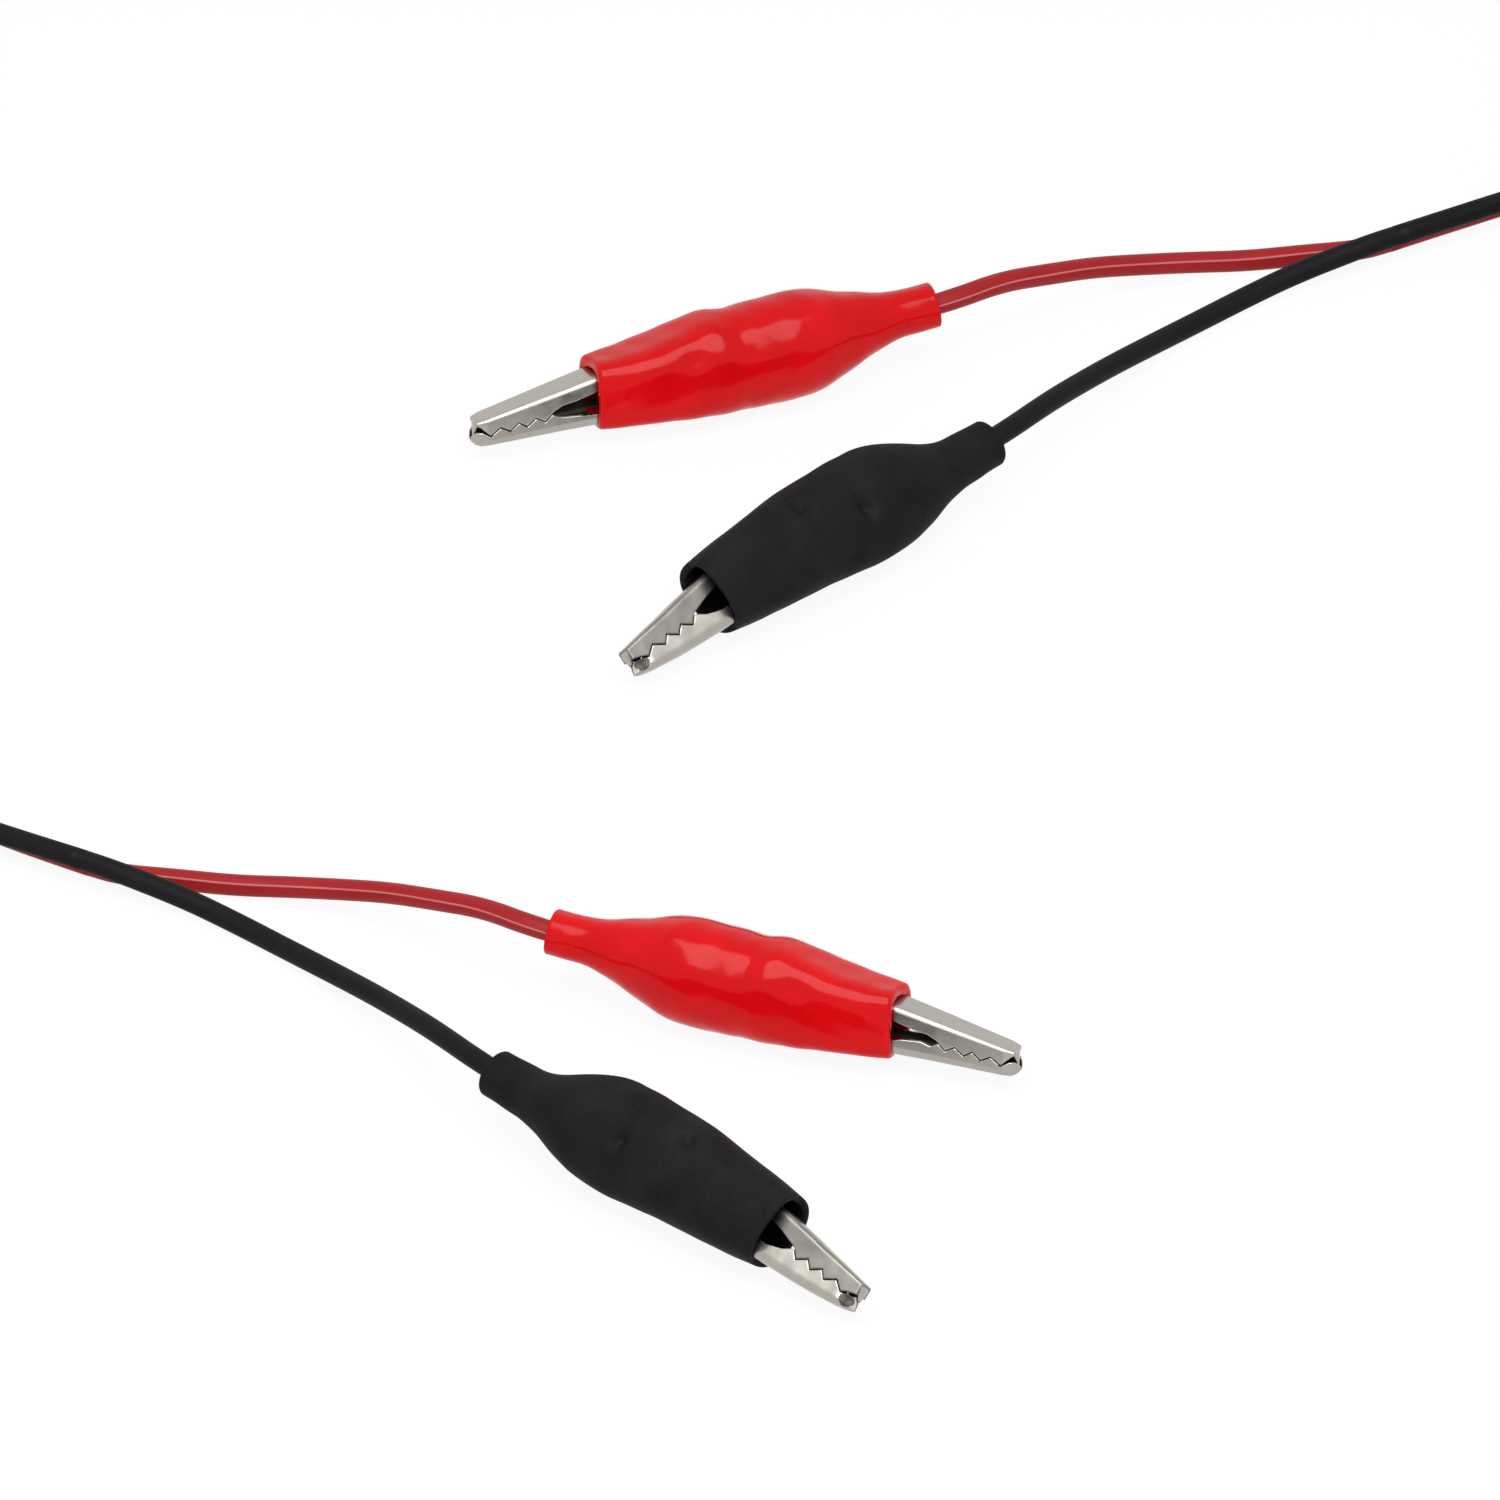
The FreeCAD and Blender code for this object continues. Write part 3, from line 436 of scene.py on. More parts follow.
# Hollows in both sides: nose to centre, height of the centre, size along and up, depth.
SLEEVE_DENTS = {
    "red": [
        (23.6, 3.3, 1.5, 1.1, 0.32), (25.9, 4.7, 0.6, 0.5, 0.14), (28.2, 6.3, 1.3, 1.2, 0.2),
    ],
    "black": [(25.2, 4.26, 0.95, 0.95, 1.0), (31.7, 0.4, 0.8, 1.2, 1.0)],
}


def eased(knots, at):
    """Smooth curve through knots: the mean of linear interpolation over one mm each way."""
    knots = np.array(knots)
    around = np.linspace(-1, 1, 9)
    near = np.clip(np.asarray(at, float)[..., None] + around, knots[0, 0], knots[-1, 0])
    weight = 1 - around**2 + 0.05
    return (np.interp(near, knots[:, 0], knots[:, 1]) * weight).sum(-1) / weight.sum()


def sleeve_surface(tone, clip_side):
    """Sleeve in the clip's frame, as a loop of stations carried round a rounded oval.

    The loop runs along the outside from tail to mouth, round the lip, and back inside to
    the tail, where the hollow narrows to the wire's bore. At depth t under the outside the
    oval is |y / (w - t)|^p + |z / (h - 1.2 t)|^p = 1, with a larger p in front than on the
    belly. A dent moves a point inwards along the oval's normal by depth * exp(-distance^2),
    and three crossing sine waves 4 mm long move it by up to 0.06 mm on the red ones.
    """
    wall, wavy = SLEEVE_WALL[tone], SLEEVE_WAVES[tone]
    lip = np.linspace(0, math.pi, 9)[1:-1]
    lip_x = MOUTH[tone] + wall / 2 * (1 - np.sin(lip) ** 0.6)
    lip_t = wall / 2 * (1 - np.cos(lip))
    outside = np.linspace(NOSE_TO_TAIL - 0.15, MOUTH[tone] + wall / 2, OUTSIDE_STATIONS)
    inside = np.linspace(MOUTH[tone] + wall / 2, NOSE_TO_TAIL - 0.1, INSIDE_STATIONS)
    # Two stations round the tail's outer edge off, and one its inner edge.
    x = np.r_[NOSE_TO_TAIL, NOSE_TO_TAIL - 0.05, outside, lip_x, inside, NOSE_TO_TAIL]
    t = np.r_[0.25, 0.05, 0 * outside, lip_t, 0 * inside + wall, wall + 0.1]
    bored = np.arange(len(x)) >= 2 + len(outside) + len(lip_x)
    outline = np.array(SLEEVE_OUTLINE[tone])
    height = eased(outline[:, [0, 1]], x)
    rise = eased(outline[:, [0, 2]], x)
    width = eased(SLEEVE_HALF_WIDTH[tone], x)
    angle = np.linspace(0, 2 * math.pi, 128, endpoint=False)
    power = 2 / np.interp(x, [20, 29], FRONT_AND_BELLY[tone])[:, None]
    y = (width - t)[:, None] * np.sign(np.cos(angle)) * np.abs(np.cos(angle)) ** power
    z = (height - 1.2 * t)[:, None] * np.sign(np.sin(angle)) * np.abs(np.sin(angle)) ** power
    normal = np.stack([y / width[:, None] ** 2, z / height[:, None] ** 2], axis=-1)
    normal /= np.linalg.norm(normal, axis=-1)[..., None]
    top_back, near_forward, far_forward = MOUTH_SLANT[tone]
    beside = y / width[:, None]
    slant = top_back * z / height[:, None] - np.where(
        beside < 0, -near_forward * beside, far_forward * beside
    )
    slant = slant * np.clip((18 - x) / 5, 0, 1)[:, None]
    z = z + rise[:, None]
    along = x[:, None]
    wave = np.sin(1.6 * along + y) + np.sin(1.5 * z - 0.8 * along) + np.sin(1.4 * y + z)
    y = y + wavy * wave * normal[..., 0]
    z = z + wavy * wave * normal[..., 1]
    for at, level, long, tall, depth in SLEEVE_DENTS[tone]:
        press = ((along - at) / long) ** 2 + ((z - level) / tall) ** 2
        push = depth * np.exp(-press) * np.abs(normal[..., 0])
        y = y - push * normal[..., 0]
        z = z - push * normal[..., 1]
    narrow = np.clip((x - 43) / 3.5, 0, 1)
    narrow = (narrow * narrow * (3 - 2 * narrow) * bored)[:, None]
    bore = CORE_RADIUS + BORE_GAP
    centre = LEG_IN_CLIP[tone][-1][2]
    y = y * (1 - narrow) + bore * np.cos(angle) * narrow
    z = z * (1 - narrow) + (centre + bore * np.sin(angle)) * narrow
    return np.stack([along + slant, y * clip_side, z], axis=-1)


def boot_pvc(name, dark, light, roughness, specular, waves):
    """Moulded soft PVC: even colour with slow clouds, and a skin that is a little uneven."""
    pvc = new_material(name, Specular_IOR_Level=specular, IOR=1.53)
    place = add(pvc, "TexCoord", {}).outputs["Object"]
    # Clouds 5 mm, waves 3 mm, grain 0.35 mm and specks 0.2 mm across; real ones are finer.
    cloud = add(pvc, "TexNoise", {"Vector": place, "Scale": 200.0, "Detail": 2.0})
    wave = add(pvc, "TexNoise", {"Vector": place, "Scale": 330.0, "Detail": 1.0})
    grain = add(pvc, "TexNoise", {"Vector": place, "Scale": 2800.0, "Detail": 2.0})
    speck = add(pvc, "TexNoise", {"Vector": place, "Scale": 5500.0, "Detail": 1.0})
    mottle = add(pvc, "Math", {0: cloud.outputs["Fac"], 1: speck.outputs["Fac"]}, operation="ADD")
    mottle = add(pvc, "MapRange", {0: mottle.outputs[0], 1: 0.65, 2: 1.35, 3: 0.0, 4: 1.0})
    shade = add(
        pvc, "Mix", {0: mottle.outputs[0], 6: colour(dark), 7: colour(light)}, data_type="RGBA"
    )
    gloss = add(
        pvc, "MapRange",
        {0: grain.outputs["Fac"], 1: 0.3, 2: 0.7, 3: roughness - 0.04, 4: roughness + 0.04},
    )
    skin = add(pvc, "Bump", {"Height": wave.outputs["Fac"], "Strength": waves, "Distance": 0.0004})
    fine = add(
        pvc, "Bump",
        {"Height": grain.outputs["Fac"], "Strength": 0.15, "Distance": 0.00004,
         "Normal": skin.outputs[0]},
    )
    into_shader(
        pvc, Base_Color=shade.outputs[2], Roughness=gloss.outputs[0], Normal=fine.outputs[0]
    )
    return pvc


# The red skin mirrors the lamp in hard-edged streaks. The black one only goes a little grey.
sleeve_pvc = {
    "red": boot_pvc("glossy_red_pvc", "#bc060a", "#d00c12", 0.13, 0.12, 0.15),
    "black": boot_pvc("satin_black_pvc", "#101012", "#1f1f21", 0.62, 0.045, 0.12),
}
for clip in CLIPS:
    tone, end = clip.split("_")
    shape = placed(sleeve_surface(tone, 1 if end == "1" else -1), clip)
    sleeve = surface(f"{clip}_boot", shape, [sleeve_pvc[tone]], closed_along=True)
    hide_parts(f"{clip}_sleeve")
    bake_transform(sleeve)

# ---------------------------------------------------------------------------------------
# Jaws: each is pressed from one piece of 0.4 mm steel strip, folded to a channel with
# toothed edges, and bright nickel plated. The upper one ends in a thumb lever and has a
# beak folded down over the nose; the lower one ends in two crimps that hold the wire.
# ---------------------------------------------------------------------------------------
SHEET = 0.4
EDGE_ROUND = 0.07
# Points across a channel's outside, and as many across its inside.
CHANNEL_COLUMNS = 34
# Nose to station, half width, web's height above (or below) the teeth, bend's radius.
UPPER_JAW = {
    "red": [
        (-0.1, 1.3, 1.42, 0.32), (0.9, 1.65, 1.61, 0.4), (5.1, 1.83, 2.17, 0.48),
        (8.4, 2.0, 2.61, 0.52), (12.9, 2.16, 3.19, 0.55), (18.5, 1.85, 3.22, 0.55),
        (21.0, 1.74, 3.25, 0.55), (23.5, 1.74, 3.45, 0.55), (31.5, 1.74, 4.3, 0.5),
    ],
    "black": [
        (0.1, 1.1, 1.66, 0.32), (2.0, 1.3, 1.93, 0.4), (4.2, 1.5, 2.21, 0.48),
        (6.0, 1.62, 2.42, 0.52), (8.3, 1.77, 2.74, 0.52), (12.9, 2.02, 3.25, 0.55),
        (18.5, 1.85, 3.22, 0.55), (21.0, 1.74, 3.25, 0.55), (23.5, 1.74, 3.45, 0.55),
        (31.5, 1.74, 4.3, 0.5),
    ],
}
LOWER_JAW = {
    "red": [
        (-0.8, 0.2, 0.75, 0.15), (-0.7, 0.55, 0.95, 0.3), (-0.45, 0.98, 1.2, 0.5),
        (0.0, 1.38, 1.42, 0.62), (0.9, 1.62, 1.5, 0.7), (5.1, 1.83, 1.76, 0.9),
        (8.4, 2.0, 1.94, 1.0), (12.9, 2.2, 2.26, 1.1), (21.0, 2.3, 2.4, 1.0),
        (24.6, 2.3, 2.5, 1.0), (27.0, 1.1, 2.82, 0.5), (36.6, 1.1, 2.82, 0.5),
    ],
    "black": [
        (-0.3, 0.05, 1.28, 0.04), (0.35, 0.55, 1.5, 0.35), (1.0, 1.08, 1.66, 0.6),
        (2.0, 1.3, 1.87, 0.8), (4.2, 1.5, 2.13, 0.9), (6.0, 1.62, 2.33, 0.95),
        (8.3, 1.77, 2.5, 1.0), (12.9, 2.1, 2.76, 1.1), (21.0, 2.3, 2.5, 1.0),
        (24.6, 2.3, 2.5, 1.0), (27.0, 1.1, 2.82, 0.5), (36.6, 1.1, 2.82, 0.5),
    ],
}
# Nose to the teeth's points and roots, and their height: the gap between the closed jaws.
TEETH = {
    "red": [
        (1.09, -0.31), (2.29, 0.36), (3.28, -0.28), (4.3, 0.4), (5.13, -0.25), (6.19, 0.43),
        (7.15, -0.22), (7.98, 0.42),
    ],
    "black": [
        (1.82, -0.4), (2.85, 0.4), (4.17, -0.4), (4.86, 0.4), (6.09, -0.4), (6.87, 0.4),
        (8.1, -0.4), (8.84, 0.4),
    ],
}
TEETH_GAP = 0.07
# Nose to barrel, its length, and its inner and outer radius.
CRIMPS = {"strand_crimp": (28, 3.0, 0.52, 1.3), "wire_crimp": (33.3, 2.7, 1.12, 1.52)}
# The edges before the teeth, and behind them as far as the pivot: the throat between them.
UPPER_EDGE = {
    "red": ([(-0.1, 0.95), (0.2, 0.75)], [(8.3, 0.7), (9.3, 1.08), (10.75, 1.2), (13.0, 1.6)]),
    "black": ([(0.1, 0.3), (0.3, 0.26), (1.1, 0.02)], [(9.2, 0.6), (11.45, 1.2), (13.0, 1.5)]),
}
LOWER_EDGE = {
    "red": (
        [(-0.8, -0.5), (-0.55, 0.0), (-0.15, 0.26), (0.3, 0.2)],
        [(8.7, -0.09), (9.5, -0.25), (13.1, -0.77)],
    ),
    "black": (
        [(-0.3, -1.2), (-0.1, -0.45), (0.1, -0.15), (0.3, -0.02), (1.1, -0.2)],
        [(9.4, 0.15), (10.1, -0.3), (11.9, -0.84)],
    ),
}
# The ears round the rivet, and behind them the edges of the lever and of the crimps' floor.
UPPER_CHEEK = [(18.7, 1.3), (19.2, -1.2), (22.8, -1.2), (23.2, 2.9), (31.5, 3.85)]
LOWER_CHEEK = [
    (18.7, -0.98), (19.3, 1.25), (22.7, 1.25), (24.6, -2.05), (27.0, -2.42), (36.6, -2.42),
]
# How far the closed jaws are bent up out of the clip's line, at the nose and further back.
JAW_BENT = {"red": [(0.0, 0.0), (21.0, 0.0)], "black": [(0.0, -0.5), (13.0, 0.25), (21.0, 0.0)]}
# Beak's top and point as (nose to it, height), in the jaws' own line.
BEAK = {"red": [(-0.02, 1.4), (-0.45, -0.48)], "black": [(0.14, 1.6), (-0.13, -0.23)]}
# The black lower jaws are dented beside the nose: where, how wide, and how deep.
NOSE_DENT = (0.8, -0.62, 0.42, 0.15)
# How much less of the throat is cut out of the red lower jaws' far flange.
FAR_THROAT_FILL = 0.45
# How far the black lower jaw's flanges lean in towards their teeth, as a slope.
FLANGE_LEAN = 0.03


def folded_sheet(tone, stations, edge, side):
    """Channel of folded sheet: two flanges, two bends and the web between them.

    Each station's ring runs up one flange's outside from its edge, round the bend, across
    the web and down the other flange, and back along the inside one sheet further in. The
    flange's edge height is read from the teeth's line, and its corners are rounded off.
    Side is 1 for the upper jaw and -1 for the lower one, which hangs down from its edge.
    The black lower flanges lean in at the teeth, not at the ears, and are dented by
    depth * exp(-distance^4). The red lower jaw's far flange is cut out less at the throat.
    """
    stations, edge = np.array(stations), np.array(edge)
    first, last = stations[0, 0], stations[-1, 0]
    x = np.r_[np.arange(first, 3, 0.1), np.arange(3, last, 0.3), edge[:, 0], last]
    x = np.unique(np.round(x[(x >= first) & (x <= last)], 3))
    half, high, bend = (np.interp(x, stations[:, 0], stations[:, k]) for k in (1, 2, 3))
    low = np.interp(x, edge[:, 0], edge[:, 1]) * side
    turn = np.linspace(0, math.pi / 2, 7)
    share = np.r_[0, 0, np.linspace(0.12, 0.9, 6)]
    fill = FAR_THROAT_FILL if (tone, side) == ("red", -1) else 0.0
    fill = fill * np.interp(x, [8.8, 9.8, 12.0, 14.0], [0, 1, 1, 0])
    lean = FLANGE_LEAN if (tone, side) == ("black", -1) else 0.0
    lean = lean * np.clip((14 - x) / 3, 0, 1)[:, None]
    rings = []
    for inset in (0.0, SHEET):
        # Where the nose is hardly wider than two sheets, a little of its inside stays open.
        radius = np.maximum(bend - inset, 0.03)[:, None]
        corner_y, corner_z = (half - bend)[:, None], (high - bend)[:, None]
        side_y = np.repeat(np.maximum(half - inset, 0.3 * half)[:, None], len(share), axis=1)
        side_y[:, 0] += EDGE_ROUND * (-1 if inset == 0 else 1) * np.clip(half / 0.5, 0, 1)
        side_y -= lean * (corner_z - low[:, None]) * (1 - share)
        y = np.hstack([side_y, corner_y + radius * np.cos(turn), corner_y * (0.6, 0.2)])
        flat = np.repeat(corner_z + radius, 2, axis=1)
        far_z, near_z = (
            np.hstack([
                end[:, None] + (corner_z - end[:, None]) * share
                + EDGE_ROUND * (np.arange(len(share)) == 1),
                corner_z + radius * np.sin(turn), flat,
            ])
            for end in (low - fill, low)
        )
        rings.append((np.hstack([y, -y[:, ::-1]]), np.hstack([far_z, near_z[:, ::-1]])))
    y = np.hstack([rings[0][0], rings[1][0][:, ::-1]])
    z = np.hstack([rings[0][1], rings[1][1][:, ::-1]]) * side
    if tone == "black" and side == -1:
        at, level, size, depth = NOSE_DENT
        near = ((x[:, None] - at) ** 2 + (z - level) ** 2) / size**2
        y = y - np.sign(y) * np.minimum(depth * np.exp(-(near**2)), 0.6 * np.abs(y))
    bent = np.array(JAW_BENT[tone])
    z = z + np.interp(x, bent[:, 0], bent[:, 1])[:, None]
    return np.stack([np.broadcast_to(x[:, None], y.shape), y, z], axis=-1)


def beak_plate(tone):
    """Triangular plate folded down from the web over the nose.

    It runs in a straight line from the web to its point while its half width falls from
    1.07 to 0.09 as (1 - share)^0.8, and its front bulges forward by bow * (1 - across^2).
    The first fifth of it curves forward out of the web. The ring goes across the front
    and back across the rear.
    """
    (web_x, web_z), (tip_x, tip_z) = BEAK[tone]
    fall = np.linspace(0, 1, 16)
    z = web_z + (tip_z - web_z) * fall + JAW_BENT[tone][0][1]
    half = 0.98 * (1 - fall) ** 0.8 + 0.09
    across = np.linspace(-1, 1, 9)
    bow = 0.12 * (1 - across**2)
    fold = 0.3 * np.clip(1 - fall / 0.22, 0, 1) ** 2
    x = (web_x + (tip_x - web_x) * fall + fold)[:, None] - bow
    level = np.repeat(z[:, None], len(across), axis=1)
    front = np.stack([x, half[:, None] * across, level], axis=-1)
    rear = front[:, ::-1] + (SHEET - 0.05, 0, 0)
    return np.concatenate([front, rear], axis=1)


def crimp(at, length, bore, outer):
    """Barrel rolled round the wire: a ring of wall carried along X, in four stations."""
    angle = np.linspace(0, 2 * math.pi, 32, endpoint=False)
    x = np.array([at, at, at + length, at + length])
    radius = np.array([bore, outer, outer, bore])
    y, z = np.outer(radius, np.cos(angle)), np.outer(radius, np.sin(angle)) - WIRE_DEPTH
    return np.stack([np.broadcast_to(x[:, None], y.shape), y, z], axis=-1)


def worked_metal(name, dark, light, roughness):
    """Rolled, drawn or plated metal: one tone, cloudy with smears, with a fine grain."""
    metal = new_material(name, Metallic=1.0)
    place = add(metal, "TexCoord", {}).outputs["Object"]
    # Smears 2 mm across, and a grain 0.2 mm across, coarser than the real one.
    smear = add(metal, "TexNoise", {"Vector": place, "Scale": 500.0, "Detail": 3.0})
    grain = add(metal, "TexNoise", {"Vector": place, "Scale": 5000.0, "Detail": 2.0})
    shade = add(
        metal, "Mix", {0: smear.outputs["Fac"], 6: colour(dark), 7: colour(light)},
        data_type="RGBA",
    )
    gloss = add(
        metal, "MapRange",
        {0: smear.outputs["Fac"], 1: 0.3, 2: 0.7, 3: roughness - 0.05, 4: roughness + 0.06},
    )
    bump = add(
        metal, "Bump", {"Height": grain.outputs["Fac"], "Strength": 0.1, "Distance": 0.00003}
    )
    into_shader(
        metal, Base_Color=shade.outputs[2], Roughness=gloss.outputs[0], Normal=bump.outputs[0]
    )
    return metal


# Nickel plate gives a soft warm grey, with a white line along each bend.
jaw_steel = worked_metal("bright_nickel_plated_steel", "#a6a29a", "#b2aea6", 0.27)
# The black clips' upper jaws get a darker, slightly rougher copy of the plating: painted shade.
shaded_upper_jaw_steel = worked_metal("shaded_upper_jaw_nickel_plated_steel", "#7f7b75", "#8a8680", 0.3)
# The channels' insides and the dent are painted dark as shade, in a rougher steel.
shaded_inside_steel = worked_metal("shaded_inside_of_folded_steel", "#3b3936", "#4c4a46", 0.5)
inner_columns = np.repeat([0, 1, 0], [CHANNEL_COLUMNS, CHANNEL_COLUMNS - 1, 1])
for clip in CLIPS:
    tone = clip.split("_")[0]
    teeth = np.array(TEETH[tone])
    (before, behind), (under, beneath) = UPPER_EDGE[tone], LOWER_EDGE[tone]
    upper_edge = np.r_[before, teeth + (0, TEETH_GAP), behind, UPPER_CHEEK]
    lower_edge = np.r_[under, teeth - (0, TEETH_GAP), beneath, LOWER_CHEEK]
    # The black clips' upper jaws take the darker steel of painted shade, and all insides the dark steel of painted
    # shade.
    upper = surface(
        f"{clip}_upper_jaw_plate",
        placed(folded_sheet(tone, UPPER_JAW[tone], upper_edge, 1), clip),
        [jaw_steel if tone == "red" else shaded_upper_jaw_steel, shaded_inside_steel], slots=inner_columns,
    )
    beak = surface(f"{clip}_beak", placed(beak_plate(tone), clip), [jaw_steel])
    lower_sheet = folded_sheet(tone, LOWER_JAW[tone], lower_edge, -1)
    shaded_faces = np.broadcast_to(inner_columns, lower_sheet.shape[:2])
    if tone == "black":
        at, level, size, _ = NOSE_DENT
        level = level + JAW_BENT[tone][0][1]
        away = np.hypot(lower_sheet[..., 0] - at, lower_sheet[..., 2] - level)
        # The painted shade reaches past the dent's rim.
        shaded_faces = np.where(away < 1.75 * size, 1, shaded_faces)
    lower = surface(
        f"{clip}_lower_jaw_plate",
        placed(lower_sheet, clip), [jaw_steel, shaded_inside_steel], slots=shaded_faces,
    )
    grips = [
        surface(f"{clip}_{part}", placed(crimp(*sizes), clip), [jaw_steel], closed_along=True)
        for part, sizes in CRIMPS.items()
    ]
    for piece in (upper, beak):
        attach(piece, f"{clip}_upper_jaw")
    for piece in (lower, *grips):
        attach(piece, "lead")
    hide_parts(f"{clip}_moving_jaw")
    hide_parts(f"{clip}_fixed_jaw")

# ---------------------------------------------------------------------------------------
# Rivets, springs and copper: the parts inside the sleeve. The rivet is turned steel and the
# strands are bare copper. The spring is 0.45 mm wire wound round the rivet, with one arm on
# each jaw.
# ---------------------------------------------------------------------------------------
SPRING_WIRE = 0.45
SPRING_RADIUS = 1.35
SPRING_PITCH = 0.49
# Degrees round the rivet where the upper and the lower arm leave the coil along a tangent,
# and where each arm ends: nose to it, and height, on the lever and on the crimps' floor.
ARM_BEARINGS = (105.6, 1344.0)
ARM_ENDS = ((28.0, 3.22), (25.6, -1.82))


def spring_surface():
    """Torsion spring in the clip's frame: a round wire carried along arm, coil and arm.

    The coil is (r cos a, y, r sin a) about the rivet, where y rises by the pitch in each
    turn.
    """
    bearing = np.radians(np.linspace(*ARM_BEARINGS, 170))
    coil = np.column_stack([
        NOSE_TO_RIVET + SPRING_RADIUS * np.cos(bearing),
        SPRING_PITCH * (bearing - bearing.mean()) / (2 * math.pi),
        SPRING_RADIUS * np.sin(bearing),
    ])
    share = np.linspace(0, 1, 12, endpoint=False)[:, None]
    upper_arm, lower_arm = (
        np.array([x, turn[1], z]) * (1 - share) + turn * share
        for (x, z), turn in zip(ARM_ENDS, (coil[0], coil[-1]))
    )
    line = np.r_[upper_arm, coil, lower_arm[::-1]]
    _, left, up = line_frames(line, upright=(0.0, 1.0, 0.0))
    angle = np.linspace(0, 2 * math.pi, 12, endpoint=False)
    wire = SPRING_WIRE / 2 * np.column_stack([np.cos(angle), np.sin(angle)])
    return carried(line, left, up, wire)


# Turned steel and spring wire are greyer than the plating. Bare copper glows a dull orange.
pin_steel = worked_metal("headed_steel_rivet", "#b9b6b0", "#cbc8c1", 0.3)
spring_steel = worked_metal("drawn_spring_wire", "#9c9a96", "#b5b3ae", 0.34)
copper = worked_metal("bare_copper_strands", "#c4784e", "#dc9468", 0.3)
for clip in CLIPS:
    for node, metal in (("pivot_pin", pin_steel), ("strands", copper)):
        kept = frame["nodes"][f"{clip}_{node}"]
        kept.data.materials.clear()
        kept.data.materials.append(metal)
    spring = surface(f"{clip}_wound_spring", placed(spring_surface(), clip), [spring_steel])
    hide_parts(f"{clip}_spring")
    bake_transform(spring)

# ---------------------------------------------------------------------------------------
# Coil tie: a short strap of black nylon hook-and-loop tape, cut to length. It goes once
# round the coil's turns, and its end is pressed down over its start to hold it.
# ---------------------------------------------------------------------------------------
TIE_BEARING = math.radians(-35)
TIE_WIDTH = 3.0
TIE_THICKNESS = 0.55
# The coil's middle turn from the coil's centre, and the height of the bundle's middle.
BUNDLE = (22.0, 4.88)
# Half the width and half the height that the strap's inside has round the bundle.
STRAP_HALF = (4.52, 4.25)


def strap_surface():
    """Strap round the bundle: a rounded rectangle carried round its own outline.

    The outline is |x / a|^4 + |z / b|^4 = 1 about the bundle's centre. Its end overlaps
    the start by a tenth of the way round, one thickness further out.
    """
    turn = np.linspace(0, 1.1, 120)
    angle = math.radians(35) + 2 * math.pi * turn
    outward = np.clip((turn - 0.93) / 0.07, 0, 1) * (TIE_THICKNESS + 0.07)
    x = np.sign(np.cos(angle)) * np.abs(np.cos(angle)) ** 0.5 * (STRAP_HALF[0] + outward)
    z = np.sign(np.sin(angle)) * np.abs(np.sin(angle)) ** 0.5 * (STRAP_HALF[1] + outward)
    line = np.column_stack([BUNDLE[0] + x, 0 * x, BUNDLE[1] + z])
    _, outwards, side = line_frames(line, upright=(0.0, 1.0, 0.0))
    edge, top, bevel = TIE_WIDTH / 2, TIE_THICKNESS, 0.1
    right = [(edge - bevel, 0), (edge, bevel), (edge, top - bevel), (edge - bevel, top)]
    ring = np.array([(-edge, bevel), (bevel - edge, 0), *right, (bevel - edge, top),
                     (-edge, top - bevel)])
    return carried(line, side, outwards, ring)


# The pile swallows light: almost black, with a soft mottled edge.
tape = new_material("hook_and_loop_tape", Roughness=0.85, Specular_IOR_Level=0.2)
tape_place = add(tape, "TexCoord", {}).outputs["Object"]
# Loops of the pile 0.4 mm across.
loops = add(tape, "TexVoronoi", {"Vector": tape_place, "Scale": 2500.0})
pile = add(
    tape, "Mix", {0: loops.outputs["Distance"], 6: colour("#2c2c30"), 7: colour("#141416")},
    data_type="RGBA",
)
fluff = add(
    tape, "Bump", {"Height": loops.outputs["Distance"], "Strength": 0.6, "Distance": 0.0002}
)
into_shader(tape, Base_Color=pile.outputs[2], Normal=fluff.outputs[0])
strap = strap_surface()
cos, sin = math.cos(TIE_BEARING), math.sin(TIE_BEARING)
strap = strap @ np.array([[cos, sin, 0], [-sin, cos, 0], [0, 0, 1]]) + (*COIL_CENTRE, 0)
tie = surface("coil_strap", strap, [tape])
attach(tie, "lead")
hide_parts("coil_tie")

# ---------------------------------------------------------------------------------------
# Studio: a matt white table in an even white room, and one large square soft box that
# hangs over the near side. The camera stands far off and has a long lens.
# ---------------------------------------------------------------------------------------
AIM = (0.00063, 0.0149, 0.0)
LENS = 1600.0
SENSOR_WIDTH = 36.0
VIEW_WIDTH = 0.157
ELEVATION = math.radians(36)
TABLE_HALF = 6.0
LAMP_SIZE = 0.62
LAMP_DISTANCE = 0.7
LAMP_ELEVATION = math.radians(65)


def seen_ray(owner):
    """Socket that is 1 for a ray from the camera, a reflection or a pane, and 0 for others."""
    rays = add(owner, "LightPath", {}).outputs
    seen = rays["Is Camera Ray"]
    for kind in ("Is Glossy Ray", "Is Transmission Ray"):
        seen = add(owner, "Math", {0: seen, 1: rays[kind]}, operation="MAXIMUM").outputs[0]
    return seen


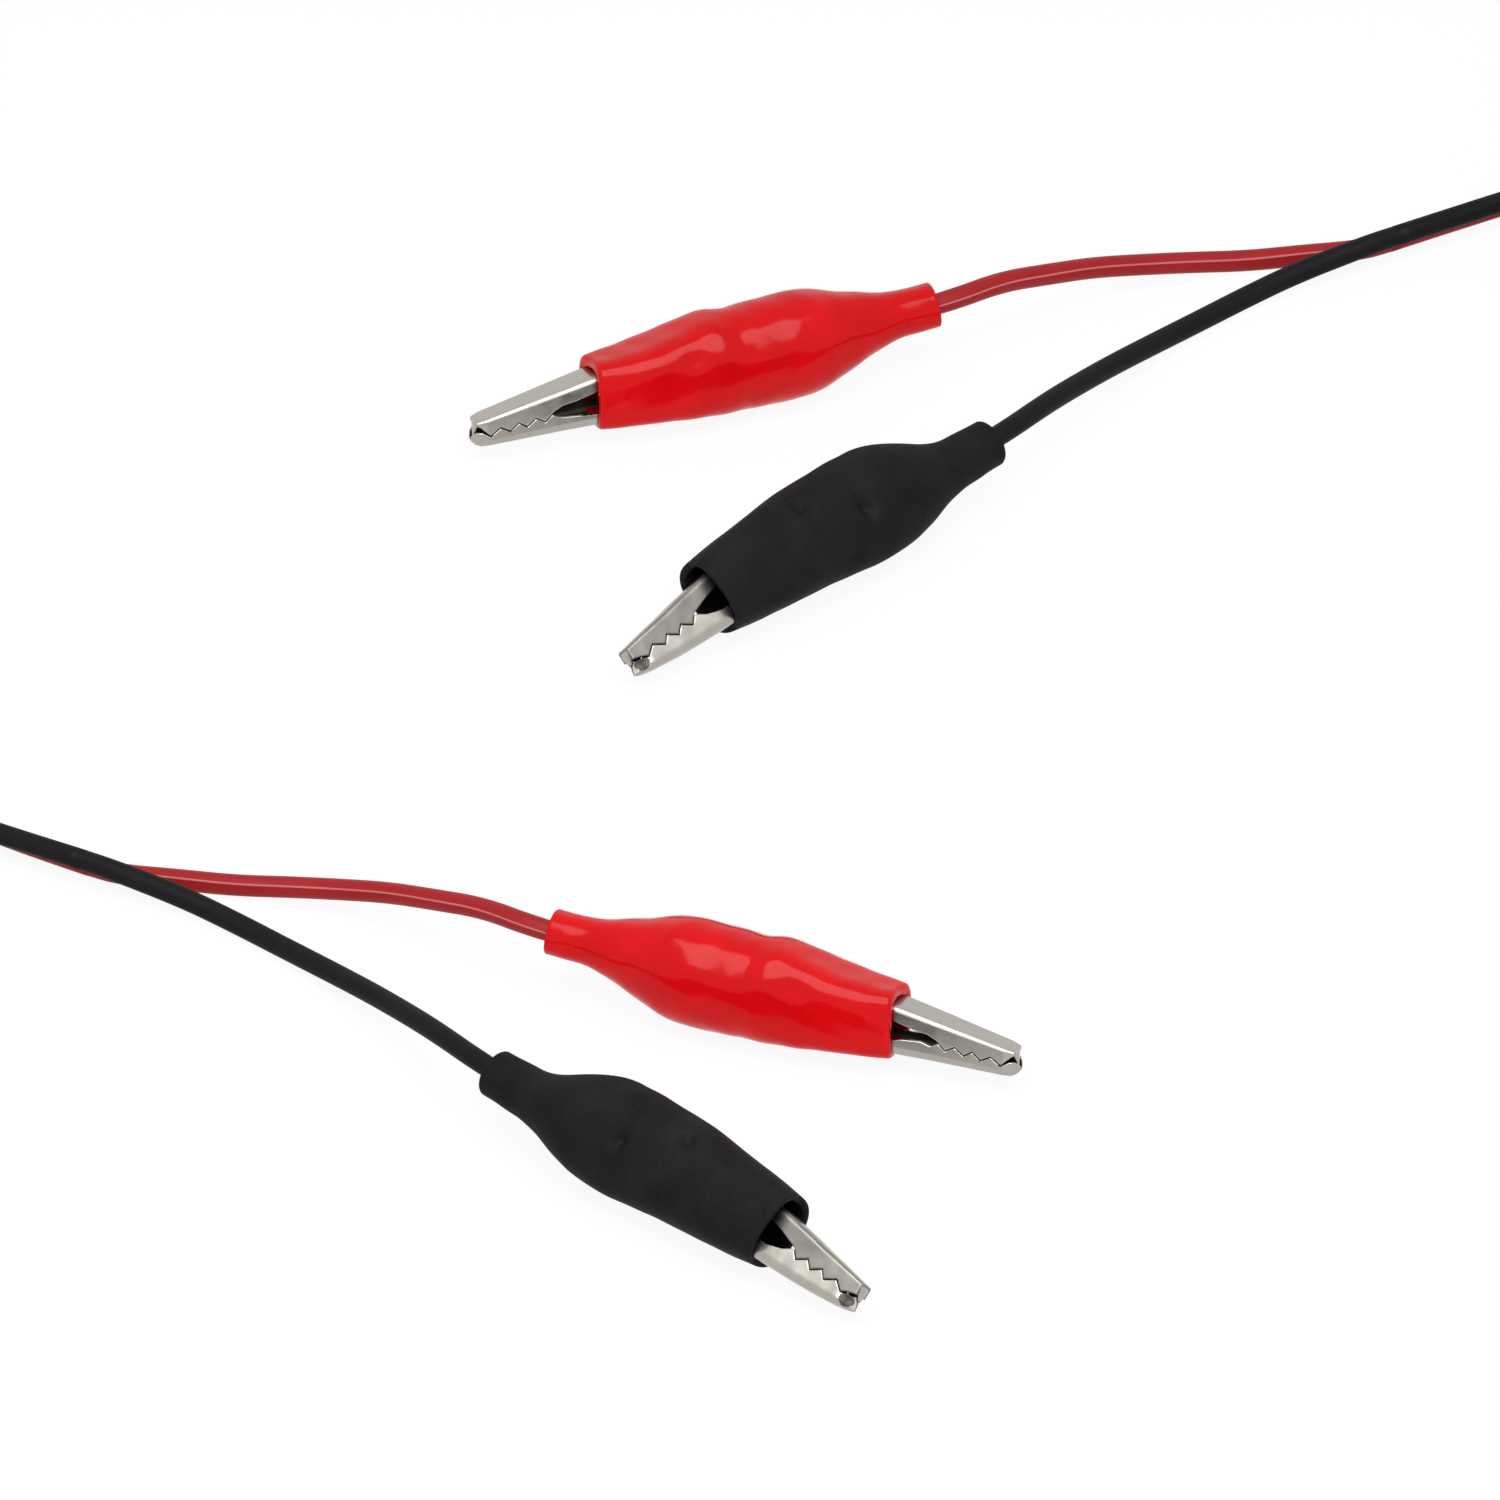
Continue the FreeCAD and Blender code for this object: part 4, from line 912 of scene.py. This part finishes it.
# The table looks white by itself, and keeps a twelfth of its shading for the shadows.
table_top = new_material("white_table", Base_Color=colour("#fafafa"), Roughness=0.9)
table_shader = table_top.node_tree.nodes["Principled BSDF"]
share = add(table_top, "Math", {0: seen_ray(table_top), 1: 0.92}, operation="MULTIPLY")
white = add(table_top, "Emission", {"Color": colour("#ffffff"), "Strength": 1.0})
blend = add(
    table_top, "MixShader",
    {0: share.outputs[0], 1: table_shader.outputs[0], 2: white.outputs[0]},
)
table_top.node_tree.links.new(
    blend.outputs[0], table_top.node_tree.nodes["Material Output"].inputs["Surface"]
)
floor_mesh = bpy.data.meshes.new("table")
corners = [(-1, -1, 0), (1, -1, 0), (1, 1, 0), (-1, 1, 0)]
floor_mesh.from_pydata((np.array(corners) * TABLE_HALF).tolist(), [], [(0, 1, 2, 3)])
floor_mesh.materials.append(table_top)
floor = bpy.data.objects.new("table", floor_mesh)
bpy.context.scene.collection.objects.link(floor)

world = bpy.data.worlds.new("white_room")
world.use_nodes = True
bpy.context.scene.world = world
room = world.node_tree.nodes["Background"]
room.inputs["Color"].default_value = colour("#ffffff")
# White where it is seen, and half as strong where it only lights.
level = add(world, "MapRange", {0: seen_ray(world), 1: 0.0, 2: 1.0, 3: 0.5, 4: 1.0})
world.node_tree.links.new(level.outputs[0], room.inputs["Strength"])

# The second lamp stands in the same place and adds only to what shines back.
for lamp_name, watts, lights_matt in (("soft_box", 4.9, True), ("soft_box_glint", 6.2, False)):
    light = bpy.data.lights.new(lamp_name, "AREA")
    light.shape = "RECTANGLE"
    light.size = light.size_y = LAMP_SIZE
    light.energy = watts
    lamp = bpy.data.objects.new(lamp_name, light)
    bpy.context.scene.collection.objects.link(lamp)
    lamp.visible_diffuse = lights_matt
    lamp.visible_camera = False
    lamp.location = (
        0.0, 0.015 - LAMP_DISTANCE * math.cos(LAMP_ELEVATION),
        LAMP_DISTANCE * math.sin(LAMP_ELEVATION),
    )
    lamp.rotation_euler = (math.pi / 2 - LAMP_ELEVATION, 0, 0)

camera_data = bpy.data.cameras.new("camera")
camera_data.lens = LENS
camera_data.sensor_width = SENSOR_WIDTH
camera_data.clip_end = 20.0
camera = bpy.data.objects.new("camera", camera_data)
bpy.context.scene.collection.objects.link(camera)
distance = VIEW_WIDTH * LENS / SENSOR_WIDTH
camera.location = (
    AIM[0], AIM[1] - distance * math.cos(ELEVATION), AIM[2] + distance * math.sin(ELEVATION)
)
camera.rotation_euler = (math.pi / 2 - ELEVATION, 0, 0)
bpy.context.scene.camera = camera
bpy.context.scene.view_settings.view_transform = "Standard"
